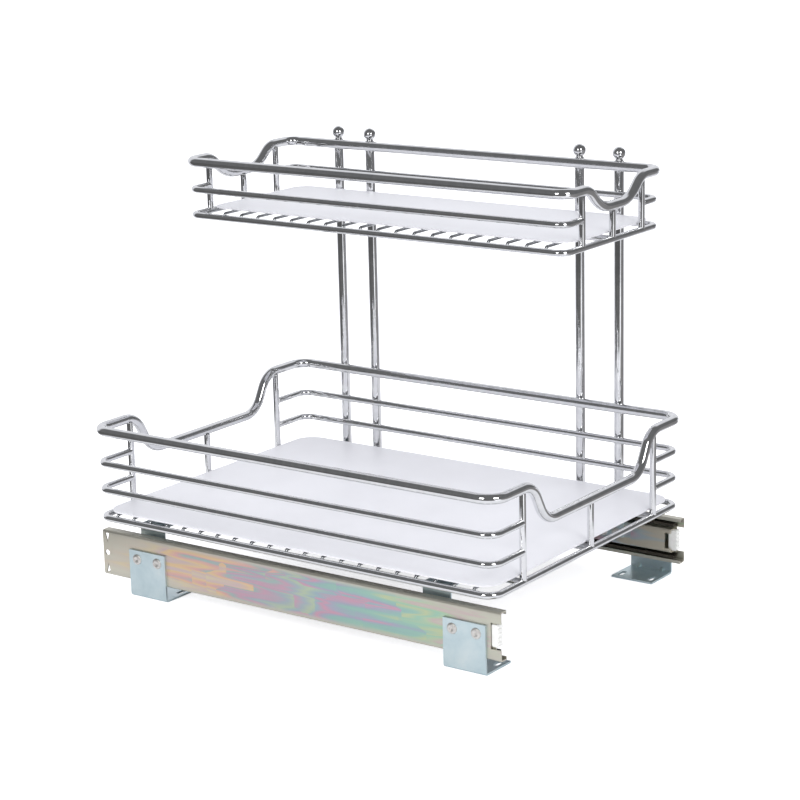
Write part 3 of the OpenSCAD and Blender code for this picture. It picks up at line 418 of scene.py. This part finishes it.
# Material of each CAD node, by the first of these words in its name. All others are chrome.
FINISHES = (
    ("rivets", RIVET_STEEL), ("screws", RIVET_STEEL), ("bracket", BLUE_ZINC),
    ("clamps", BLUE_ZINC), ("cage", CAGE_STEEL), ("balls", BALL_STEEL), ("bumper", NYLON),
    ("inner_member", INNER_FILM), ("middle_member", MIDDLE_FILM), ("outer_member", OUTER_FILM),
    ("liner", LINER),
)


def assign_cad_materials():
    """Gives each CAD node its procedural material."""
    for name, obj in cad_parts.items():
        material = next((finish for word, finish in FINISHES if word in name), CHROME)
        for slot in obj.material_slots:
            slot.material = material


# Meshes made of rings of points.

def add_ring(bm, centre, side, front, radius, sides):
    """Ring of points round centre, in the plane of the unit vectors side and front."""
    ring = []
    for k in range(sides):
        a = 2 * math.pi * k / sides
        ring.append(bm.verts.new(
            (centre + (side * math.cos(a) + front * math.sin(a)) * radius) * MM
        ))
    return ring


def join_rings(bm, rings, closed=False, smooth=True):
    """Faces between each ring and the next. A ring may be a single point."""
    pairs = list(zip(rings, rings[1:]))
    if closed:
        pairs.append((rings[-1], rings[0]))
    for a, b in pairs:
        count = max(len(a), len(b))
        for k in range(count):
            j = (k + 1) % count
            corners = [a[0]] if len(a) == 1 else [a[k], a[j]]
            corners += [b[0]] if len(b) == 1 else [b[j], b[k]]
            bm.faces.new(corners).smooth = smooth


def cap_ends(bm, rings):
    """Flat faces on the first and the last ring."""
    bm.faces.new(list(reversed(rings[0])))
    bm.faces.new(rings[-1])


def lathe(bm, base, axis, side, front, profile, sides):
    """Turned solid along axis, from (radius, distance from base) pairs. It ends in a point."""
    rings = []
    for radius, distance in profile:
        centre = base + axis * distance
        if radius > 0:
            rings.append(add_ring(bm, centre, side, front, radius, sides))
        else:
            rings.append([bm.verts.new(centre * MM)])
    join_rings(bm, rings)
    if len(rings[0]) > 1:
        bm.faces.new(list(reversed(rings[0])))


def piece(name, bm, material, body, slot, *replaced):
    """Turns a mesh into an object that moves with a body and stands for the CAD nodes named."""
    bmesh.ops.recalc_face_normals(bm, faces=bm.faces[:])
    mesh = bpy.data.meshes.new(name)
    bm.to_mesh(mesh)
    bm.free()
    obj = bpy.data.objects.new(name, mesh)
    bpy.context.scene.collection.objects.link(obj)
    mesh.materials.append(material)
    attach(obj, body)
    if replaced:
        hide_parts(*replaced)


# Bent wires.

def bend_points(points, radii, closed):
    """Centre line of a bent wire: straight runs joined by arcs, with a point every few degrees."""
    count = len(points)
    line = []
    for i, here in enumerate(points):
        if not closed and i in (0, count - 1):
            line.append(here.copy())
            continue
        u = (here - points[(i - 1) % count]).normalized()
        v = (points[(i + 1) % count] - here).normalized()
        turn = u.angle(v)
        radius = radii[i]
        inwards = (v - u * u.dot(v)).normalized()
        centre = here - u * (radius * math.tan(turn / 2)) + inwards * radius
        steps = max(ARC_STEPS_AT_LEAST, int(math.degrees(turn) / ARC_STEP_DEGREES))
        for k in range(steps + 1):
            a = turn * k / steps
            line.append(centre - inwards * (radius * math.cos(a)) + u * (radius * math.sin(a)))
    return line


def carried(side, before, after):
    """Side vector of a wire, turned with its tangent and no further."""
    axis = before.cross(after)
    if axis.length > NO_DIRECTION:
        side = Matrix.Rotation(before.angle(after), 3, axis.normalized()) @ side
    return side


def ring_frames(line, closed):
    """Tangent and two normals at each point, turned as little as possible from one to the next."""
    count = len(line)
    tangents = []
    for i in range(count):
        before = line[(i - 1) % count] if closed or i > 0 else line[i]
        after = line[(i + 1) % count] if closed or i < count - 1 else line[i]
        tangents.append((after - before).normalized())
    side = tangents[0].orthogonal().normalized()
    frames = []
    for i, tangent in enumerate(tangents):
        if i:
            side = carried(side, tangents[i - 1], tangent)
        side = (side - tangent * side.dot(tangent)).normalized()
        frames.append((tangent, side, tangent.cross(side)))
    return untwisted(frames) if closed else frames


def untwisted(frames):
    """Frames of a closed wire, turned step by step so that the last one meets the first."""
    first, last = frames[0], frames[-1]
    end = carried(last[1], last[0], first[0])
    twist = math.atan2(end.dot(first[2]), end.dot(first[1]))
    turned = []
    for i, (tangent, side, _) in enumerate(frames):
        side = Matrix.Rotation(-twist * i / len(frames), 3, tangent) @ side
        turned.append((tangent, side, tangent.cross(side)))
    return turned


def wire_end_edge():
    """Rounded edge of a wire's end, as distances from the end face and from the full radius."""
    edge = []
    for k in range(WIRE_END_STEPS + 1):
        a = math.pi / 2 * k / WIRE_END_STEPS
        edge.append((WIRE_END_ROUND * (1 - math.sin(a)), WIRE_END_ROUND * (1 - math.cos(a))))
    return edge


def add_tube(bm, points, radii, diameter, closed):
    """Adds one bent wire to a mesh. Open ends get a small rounded edge and a flat face."""
    line = bend_points([Vector(p) for p in points], radii, closed)
    frames = ring_frames(line, closed)
    radius = diameter / 2
    stations = [(centre, ways, radius) for centre, ways in zip(line, frames)]
    if not closed:
        first, last = frames[0], frames[-1]
        edge = wire_end_edge()
        head = [(line[0] + first[0] * back, first, radius - drop) for back, drop in edge]
        tail = [(line[-1] - last[0] * back, last, radius - drop) for back, drop in edge]
        stations = head[::-1] + stations[1:-1] + tail
    rings = [
        add_ring(bm, centre, side, front, r, RING_SIDES[diameter])
        for centre, (_, side, front), r in stations
    ]
    join_rings(bm, rings, closed)
    if not closed:
        cap_ends(bm, rings)


def wire_piece(name, wires, node, material=CHROME):
    """One piece made of several wires, each given as (corner points, bend radii, diameter, closed)."""
    bm = bmesh.new()
    for wire in wires:
        add_tube(bm, *wire)
    piece(name, bm, material, "basket", "chrome_wire", node)


def straight(start, end, diameter=WIRE_D):
    """Straight wire."""
    return [start, end], [0, 0], diameter, False


def dipped_loop(b):
    """Top rim of a basket with a dip in its front and rear runs."""
    low = b.top - b.dip
    across = [
        (b.x0, b.top), (b.middle - b.dip_top, b.top), (b.middle - b.dip_bottom, low),
        (b.middle + b.dip_bottom, low), (b.middle + b.dip_top, b.top), (b.x1, b.top),
    ]
    bends = [b.top_corner, b.crest, b.trough, b.trough, b.crest, b.top_corner]
    points = [(x, b.front - RIM_OUTSET, z) for x, z in across]
    points += [(x, b.rear + RIM_OUTSET, z) for x, z in reversed(across)]
    return points, bends + bends, RIM_D, True


def bottom_loop(b):
    """Flat bottom rim of a basket."""
    points = [(b.x0, b.front), (b.x1, b.front), (b.x1, b.rear), (b.x0, b.rear)]
    return [(x, y, b.bottom) for x, y in points], [b.corner] * 4, WIRE_D, True


def side_wire(b, x_side, x_end, z):
    """Side wire with both ends wrapped round the corners."""
    points = [(x_end, b.front), (x_side, b.front), (x_side, b.rear), (x_end, b.rear)]
    return [(x, y, z) for x, y in points], [0, b.corner, b.corner, 0], WIRE_D, False


def post(b, x, y, top):
    """Straight post between the bottom rim and the wire above."""
    r = WIRE_D / 2
    return straight((x, y, b.bottom + r - BUTT_BITE), (x, y, top - r))


def floor_wire(b, y):
    """Floor wire with both ends bent down onto the bottom rim."""
    x0, x1 = b.x0 + HOOK_INSET, b.x1 - HOOK_INSET
    foot, up = b.bottom, b.bottom + FLOOR_LIFT
    points = [(x0, y, foot), (x0, y, up), (x1, y, up), (x1, y, foot)]
    return points, [0, HOOK_BEND_R, HOOK_BEND_R, 0], FLOOR_WIRE_D, False


def build_floor_wires(b, prefix):
    """Floor wires at one pitch from front to rear."""
    pitch = (b.rear - b.front) / (b.floor_wires + 1)
    wire_piece(prefix + "_floor_wire_set", [
        floor_wire(b, b.front + pitch * (i + 1)) for i in range(b.floor_wires)
    ], prefix + "_floor_wires", SHADED_THIN_CHROME)


def build_side_wires(b, prefix):
    """Side wires, each a piece, with their ends butted on the outer posts."""
    reach = WIRE_D / 2 - BUTT_BITE
    for side, x_side, x_end in (
        ("left", b.x0, b.left_post - reach), ("right", b.x1, b.right_post + reach)
    ):
        for level, z in b.side_wires.items():
            node = prefix + "_side_wire" + level + "_" + side
            wire_piece(node + "_bent", [side_wire(b, x_side, x_end, z)], node)


def build_basket(b, prefix):
    """All wires of one basket."""
    ends = (b.front, b.rear)
    wire_piece(prefix + "_top_rim_wire", [dipped_loop(b)], prefix + "_top_rim")
    wire_piece(prefix + "_bottom_rim_wire", [bottom_loop(b)], prefix + "_bottom_rim")
    wire_piece(prefix + "_corner_post_wires", [
        post(b, x, y, b.top) for x in (b.left_post, b.right_post) for y in ends
    ], prefix + "_corner_posts")
    wire_piece(prefix + "_middle_post_wires", [
        post(b, b.middle, y, b.top - b.dip) for y in ends
    ], prefix + "_middle_posts")
    inset = WIRE_D / 2 - BUTT_BITE
    wire_piece(prefix + "_runner_wires", [
        straight((x, b.front + inset, b.bottom), (x, b.rear - inset, b.bottom)) for x in b.runners
    ], b.runner_node)
    build_floor_wires(b, prefix)
    build_side_wires(b, prefix)


# Uprights and rivets.

# Foot of an upright's ball: radius over that of the neck, and height over the rod's end.
FINIAL_FOOT = ((1.3, 0.0), (1.3, 0.6), (1.0, 1.0), (0.4, 1.4), (0.3, 2.0))

# Half sections of a rivet's dished head and its flat tail, in shares of radius and height.
RIVET_HEAD_SHARES = (
    (0.0, 0.46), (0.16, 0.48), (0.30, 0.62), (0.40, 0.86), (0.48, 0.98), (0.56, 1.0),
    (0.68, 0.96), (0.80, 0.84), (0.90, 0.62), (0.97, 0.34), (1.0, 0.12), (1.0, 0.0),
)
RIVET_TAIL_SHARES = ((0.0, 1.0), (0.8, 1.0), (0.93, 0.85), (1.0, 0.4), (1.0, 0.0), (0.0, 0.0))


def finial_profile():
    """Ball on a waisted neck with a small collar at its foot."""
    ball = FINIAL_D / 2
    neck = FINIAL_NECK_D / 2
    profile = [(neck + over, rise) for over, rise in FINIAL_FOOT]
    start = math.asin(profile[-1][0] / ball)
    for k in range(FINIAL_STEPS):
        a = start + (math.pi - start) * k / FINIAL_STEPS
        profile.append((ball * math.sin(a), FINIAL_NECK_H - ball * math.cos(a)))
    return profile + [(0.0, FINIAL_NECK_H + ball)]


def build_uprights():
    """Four upright rods and the turned ball on top of each."""
    bm = bmesh.new()
    for name, y in UPRIGHT_Y.items():
        foot = Vector((UPRIGHT_X, y, LOWER.bottom - WIRE_D / 2))
        top = Vector((UPRIGHT_X, y, UPPER.top + UPRIGHT_RISE))
        wire_piece("upright_" + name + "_rod", [straight(foot, top, RIM_D)], "upright_" + name)
        lathe(bm, top, Z_WAY, X_WAY, Y_WAY, finial_profile(), FINIAL_SIDES)
    piece("finial_balls", bm, CHROME, "basket", "chrome_wire", "finials")


def rivet_profile(grip):
    """Domed rivet head with a shallow dish in it, and its shank."""
    r = RIVET_HEAD_D / 2
    head = [(r * width, RIVET_HEAD_H * rise) for width, rise in RIVET_HEAD_SHARES]
    return head + [(RIVET_D / 2, 0.0), (RIVET_D / 2, -grip), (0.0, -grip)]


def tail_profile():
    """Flat rivet tail with a rounded edge."""
    r = RIVET_HEAD_D / 2
    return [(r * width, RIVET_TAIL_H * rise) for width, rise in RIVET_TAIL_SHARES]


def rivet_rows(brackets, spacing):
    """Places along Y of the two rivets in each bracket."""
    return [middle + way * spacing / 2 for middle in brackets for way in (-1, 1)]


def add_rivet_form(bm, x, y, direction, profile):
    """Part of a rivet, turned about the line along X through y and the slide's middle height."""
    lathe(bm, Vector((x, y, SLIDE_CENTRE_Z)), X_WAY * direction, Y_WAY, Z_WAY, profile, RIVET_SIDES)


def build_floor_rivets():
    """Rivets that join the outer members to the floor brackets."""
    bm = bmesh.new()
    for side in (-1, 1):
        for y in rivet_rows(FLOOR_BRACKET_Y, FLOOR_RIVET_SPACING):
            add_rivet_form(bm, side * FLOOR_RIVET_X, y, side, rivet_profile(FLOOR_RIVET_GRIP))
    piece("floor_rivet_heads", bm, RIVET_STEEL, "cabinet_side", "fastener_steel",
          "floor_bracket_rivets")


def build_basket_rivets():
    """Rivets that join the basket brackets to the inner members, with flattened tails."""
    bm = bmesh.new()
    for side in (-1, 1):
        for y in rivet_rows(BASKET_BRACKET_Y, BASKET_RIVET_SPACING):
            add_rivet_form(bm, side * BASKET_RIVET_X, y, -side, rivet_profile(BASKET_RIVET_GRIP))
            add_rivet_form(bm, side * BASKET_TAIL_X, y, side, tail_profile())
    piece("basket_rivet_heads", bm, RIVET_STEEL, "basket", "fastener_steel",
          "basket_bracket_rivets")


# Bumpers.

def cheek_outline(inset):
    """Rounded outline of a bumper cheek as (y, z) pairs."""
    r = CHEEK_CORNER_R
    front, rear = CHEEK_FRONT_Y + r, CHEEK_REAR_Y - r
    low, high = SLIDE_CENTRE_Z - CHEEK_HEIGHT / 2 + r, SLIDE_CENTRE_Z + CHEEK_HEIGHT / 2 - r
    outline = []
    for corner, (y, z) in enumerate(((rear, high), (front, high), (front, low), (rear, low))):
        for k in range(CHEEK_CORNER_STEPS + 1):
            a = math.pi / 2 * (corner + k / CHEEK_CORNER_STEPS)
            outline.append((y + (r - inset) * math.cos(a), z + (r - inset) * math.sin(a)))
    return outline


def build_bumper_cheeks():
    """Cheek of each front bumper, which laps over the intermediate web in the outer notch."""
    face = MIDDLE_WEB_X + CHEEK_THICKNESS
    sections = ((MIDDLE_WEB_X, 0.0), (face - CHEEK_EDGE_DROP, 0.0), (face, CHEEK_EDGE_INSET))
    for side, name in ((-1, "left"), (1, "right")):
        bm = bmesh.new()
        rings = [
            [bm.verts.new(Vector((side * x, y, z)) * MM) for y, z in cheek_outline(inset)]
            for x, inset in sections
        ]
        join_rings(bm, rings, smooth=False)
        cap_ends(bm, rings)
        piece("bumper_cheek_" + name, bm, NYLON, "intermediate_" + name, "bumper_plastic")


# Welds.

POST_WELD_SIZE = 0.7
SIDE_WELD_SIZE = 0.5

# Half section of a fillet in shares of its size: outwards from the butting wire, and up along it
# from the wire that it meets.
WELD_SHARES = ((-0.15, 1.25), (0.1, 0.8), (0.35, 0.35), (0.75, 0.05), (1.05, -0.25))

# Waves round a fillet: share of its size and number of waves.
WELD_LUMPS = ((0.22, 3), (0.12, 7))

# How far a fillet stands proud of the wire that it meets, as a share of its size, and how much of
# its reach round that wire it keeps.
WELD_PROUD_SHARE = 0.1
WELD_WRAP_SHARE = 0.82


def weld_ring(bm, joint, ways, size, out, rise):
    """One ring of a weld fillet, at out and rise from where the two wires meet."""
    up, along, across = ways
    r = WIRE_D / 2
    skin = r + WELD_PROUD_SHARE * size
    ring = []
    for k in range(WELD_SIDES):
        a = 2 * math.pi * k / WELD_SIDES
        lump = 1 + sum(
            share * math.sin(waves * a + start) for (share, waves), start in zip(WELD_LUMPS, joint)
        )
        reach = r + out * size * lump
        turn = math.asin(min(1.0, max(-1.0, reach * math.sin(a) / skin))) * WELD_WRAP_SHARE
        ring.append(bm.verts.new((
            Vector(joint) + along * (reach * math.cos(a)) + across * (skin * math.sin(turn))
            + up * (r * math.cos(turn) + rise * size * lump)
        ) * MM))
    return ring


def add_weld(bm, joint, up, along, size):
    """Small uneven fillet where one wire butts on another.

    The point joint lies on the middle of the wire that is met, up points along the butting wire
    and along follows the wire that is met.
    """
    ways = (up, along, up.cross(along))
    join_rings(bm, [weld_ring(bm, joint, ways, size, out, rise) for out, rise in WELD_SHARES])


def add_basket_welds(bm, b):
    """Fillets at the feet of the posts, the ends of the side wires and the ends of the runners."""
    for y, inwards in ((b.front, Y_WAY), (b.rear, -Y_WAY)):
        for x in (b.left_post, b.middle, b.right_post):
            add_weld(bm, (x, y, b.bottom), Z_WAY, X_WAY, POST_WELD_SIZE)
        for x in b.runners:
            add_weld(bm, (x, y, b.bottom), inwards, X_WAY, POST_WELD_SIZE)
        for x, outwards in ((b.left_post, -X_WAY), (b.right_post, X_WAY)):
            for z in b.side_wires.values():
                add_weld(bm, (x, y, z), outwards, Z_WAY, SIDE_WELD_SIZE)


def build_welds():
    """Weld fillets of both baskets as one piece."""
    bm = bmesh.new()
    add_basket_welds(bm, LOWER)
    add_basket_welds(bm, UPPER)
    piece("weld_fillets", bm, CHROME, "basket", "chrome_wire")


# Studio.

# Camera, solved from the photograph. This and all that follows is in metres, except for the
# camera's sensor and lens.
CAMERA_AT = Vector((-1.74351, -1.25971, 0.73176))
CAMERA_RIGHT = Vector((0.58035972, -0.81404017, -0.02282978))
CAMERA_UP = Vector((0.21401406, 0.1254101, 0.96874676))
CAMERA_BACK = Vector((-0.78573569, -0.5671075, 0.24699901))
CAMERA_SENSOR = 36.0
CAMERA_LENS = 105.5925
CAMERA_CLIP = (0.05, 60.0)

# Level directions from the part towards the camera, and to the right in the picture.
TOWARDS = Vector((CAMERA_BACK.x, CAMERA_BACK.y, 0)).normalized()
ACROSS = Vector((-TOWARDS.y, TOWARDS.x, 0))

# White paper under the part, as the camera sees it and as reflections see it.
PAPER_SEEN = (0.93, 0.93, 0.935, 1)
PAPER_GLOW = 0.72
PAPER_REFLECTED = (0.80, 0.80, 0.81, 1)
PAPER_HALF_WIDTH = 0.45
PAPER_FRONT = 0.75
PAPER_EDGE = 0.05
FLOOR_HALF = 14.0
FLOOR_CELLS = 4
FLOOR_DROP = 0.0002

# What reflections see on the floor beyond the paper, round the part: from behind it (0) over its
# left side in the picture and the camera (0.5) to its right side and behind it again (1).
BACK_LIGHT = (0.80, 0.80, 0.82, 1)
ROOM_DARK = (0.104, 0.103, 0.100, 1)
LAMP_LIT = (1.0, 1.0, 1.0, 1)
ROOM_MID = (0.22, 0.215, 0.21, 1)
FLOOR_ROUND = (
    (0.000, BACK_LIGHT), (0.150, BACK_LIGHT), (0.185, ROOM_DARK), (0.560, ROOM_DARK),
    (0.570, LAMP_LIT), (0.614, LAMP_LIT), (0.628, ROOM_MID), (0.820, ROOM_MID),
    (0.855, BACK_LIGHT), (1.000, BACK_LIGHT),
)

# White room, and the grey one that reflections see. The backdrop in it covers the directions that
# face away from the camera, not too far to the right and not straight up: each pair gives how far
# a direction reaches that way where the backdrop starts and where it is complete.
ROOM_COLOUR = (0.178, 0.180, 0.183, 1)
WALL_COLOUR = (0.95, 0.96, 1.0, 1)
WALL_LIGHT = 0.90
BACKDROP_BEHIND = (0.26, 0.50)
BACKDROP_LEFT = (-0.70, -0.54)
BACKDROP_DOWN = (-0.92, -0.78)

# Lamps. All the light was set by comparing renders with the photograph.
SUN_WAY = Vector((0.1, 0.15, 1.0))
SUN_LIGHT = 0.55
SUN_SPREAD = math.radians(120.0)
SOFTBOX_TURNS = {"left_softbox": math.radians(-31.0), "right_softbox": math.radians(31.0)}
SOFTBOX_RISE = math.radians(25.0)
SOFTBOX_AIM = Vector((0, 0, 0.2))
SOFTBOX_FAR = 2.0
SOFTBOX_SIZE = 0.6
SOFTBOX_LIGHT = 9.0


def add_object(name, data):
    """New object in the scene."""
    obj = bpy.data.objects.new(name, data)
    bpy.context.scene.collection.objects.link(obj)
    return obj


def build_camera():
    """Camera of the photograph."""
    data = bpy.data.cameras.new("photo_camera")
    data.sensor_width = CAMERA_SENSOR
    data.lens = CAMERA_LENS
    data.clip_start, data.clip_end = CAMERA_CLIP
    camera = add_object("photo_camera", data)
    turn = Matrix((CAMERA_RIGHT, CAMERA_UP, CAMERA_BACK)).transposed()
    camera.matrix_world = Matrix.Translation(CAMERA_AT) @ turn.to_4x4()
    bpy.context.scene.camera = camera


def reflected_floor(m):
    """Colour of the floor in reflections: paper near the part and the room beyond it."""
    place = m.add("NewGeometry", {}).outputs["Position"]
    across = m.dot(place, ACROSS)
    towards = m.dot(place, TOWARDS)
    turn = m.span(m.math("ARCTAN2", across, towards), -math.pi, math.pi)
    far = m.math("MAXIMUM", m.math("ABSOLUTE", across),
                 m.math("MULTIPLY", towards, PAPER_HALF_WIDTH / PAPER_FRONT))
    beyond = m.span(far, PAPER_HALF_WIDTH - PAPER_EDGE, PAPER_HALF_WIDTH + PAPER_EDGE)
    return m.blend(beyond, PAPER_REFLECTED, m.ramp(turn, FLOOR_ROUND))


def floor_material():
    """White paper to the camera. Reflections see the paper's strip and the room round it."""
    m = Material("studio_floor_paper", Roughness=0.9, Specular_IOR_Level=0.0,
                 Emission_Color=PAPER_SEEN)
    path = m.add("LightPath", {})
    m.surface("Base Color", m.blend(
        path.outputs["Is Glossy Ray"], PAPER_SEEN, reflected_floor(m)
    ))
    m.surface("Emission Strength", m.math("MULTIPLY", path.outputs["Is Camera Ray"], PAPER_GLOW))
    return m.mat


def build_floor():
    """Plain white floor."""
    bm = bmesh.new()
    bmesh.ops.create_grid(bm, x_segments=FLOOR_CELLS, y_segments=FLOOR_CELLS, size=FLOOR_HALF)
    mesh = bpy.data.meshes.new("studio_floor")
    bm.to_mesh(mesh)
    bm.free()
    mesh.materials.append(floor_material())
    floor = add_object("studio_floor", mesh)
    floor.location.z = -FLOOR_DROP


def build_world():
    """Even white room. Reflections see a white backdrop that rises behind the part and a grey room."""
    world = bpy.data.worlds.new("studio_world")
    bpy.context.scene.world = world
    world.use_nodes = True
    n = Nodes(world.node_tree)
    way = n.add("TexCoord", {}).outputs["Generated"]
    behind = n.span(n.dot(way, -TOWARDS), *BACKDROP_BEHIND)
    left = n.span(n.dot(way, -ACROSS), *BACKDROP_LEFT)
    down = n.span(n.dot(way, -Z_WAY), *BACKDROP_DOWN)
    backdrop = n.math("MULTIPLY", n.math("MULTIPLY", behind, left), down)
    reflected = n.blend(backdrop, ROOM_COLOUR, WALL_COLOUR)
    path = n.add("LightPath", {})
    background = world.node_tree.nodes["Background"]
    n.feed(background.inputs["Color"], n.blend(
        path.outputs["Is Glossy Ray"], WALL_COLOUR, reflected
    ))
    n.feed(background.inputs["Strength"], WALL_LIGHT)


def build_overhead_light():
    """Broad overhead light that shows in no reflection, like a large diffuser out of view."""
    data = bpy.data.lights.new("overhead_diffuser", "SUN")
    data.energy = SUN_LIGHT
    data.angle = SUN_SPREAD
    light = add_object("overhead_diffuser", data)
    light.rotation_euler = (-SUN_WAY).to_track_quat("-Z", "Y").to_euler()
    light.visible_glossy = False


def build_softboxes():
    """Soft lamp on each side of the camera, aimed at the part."""
    for name, turn in SOFTBOX_TURNS.items():
        level = TOWARDS * math.cos(turn) + ACROSS * math.sin(turn)
        way = level * math.cos(SOFTBOX_RISE) + Z_WAY * math.sin(SOFTBOX_RISE)
        data = bpy.data.lights.new(name, "AREA")
        data.energy = SOFTBOX_LIGHT
        data.size = SOFTBOX_SIZE
        light = add_object(name, data)
        light.location = SOFTBOX_AIM + way * SOFTBOX_FAR
        light.rotation_euler = (-way).to_track_quat("-Z", "Y").to_euler()
        light.visible_camera = False


def set_view():
    """Plain display transform, so that colours come out as given."""
    view = bpy.context.scene.view_settings
    view.view_transform = "Standard"
    view.look = "None"
    view.exposure = 0.0
    view.gamma = 1.0


assign_cad_materials()
build_basket(LOWER, "lower")
build_basket(UPPER, "upper")
build_uprights()
build_floor_rivets()
build_basket_rivets()
build_bumper_cheeks()
build_welds()
build_camera()
build_floor()
build_world()
build_overhead_light()
build_softboxes()
set_view()
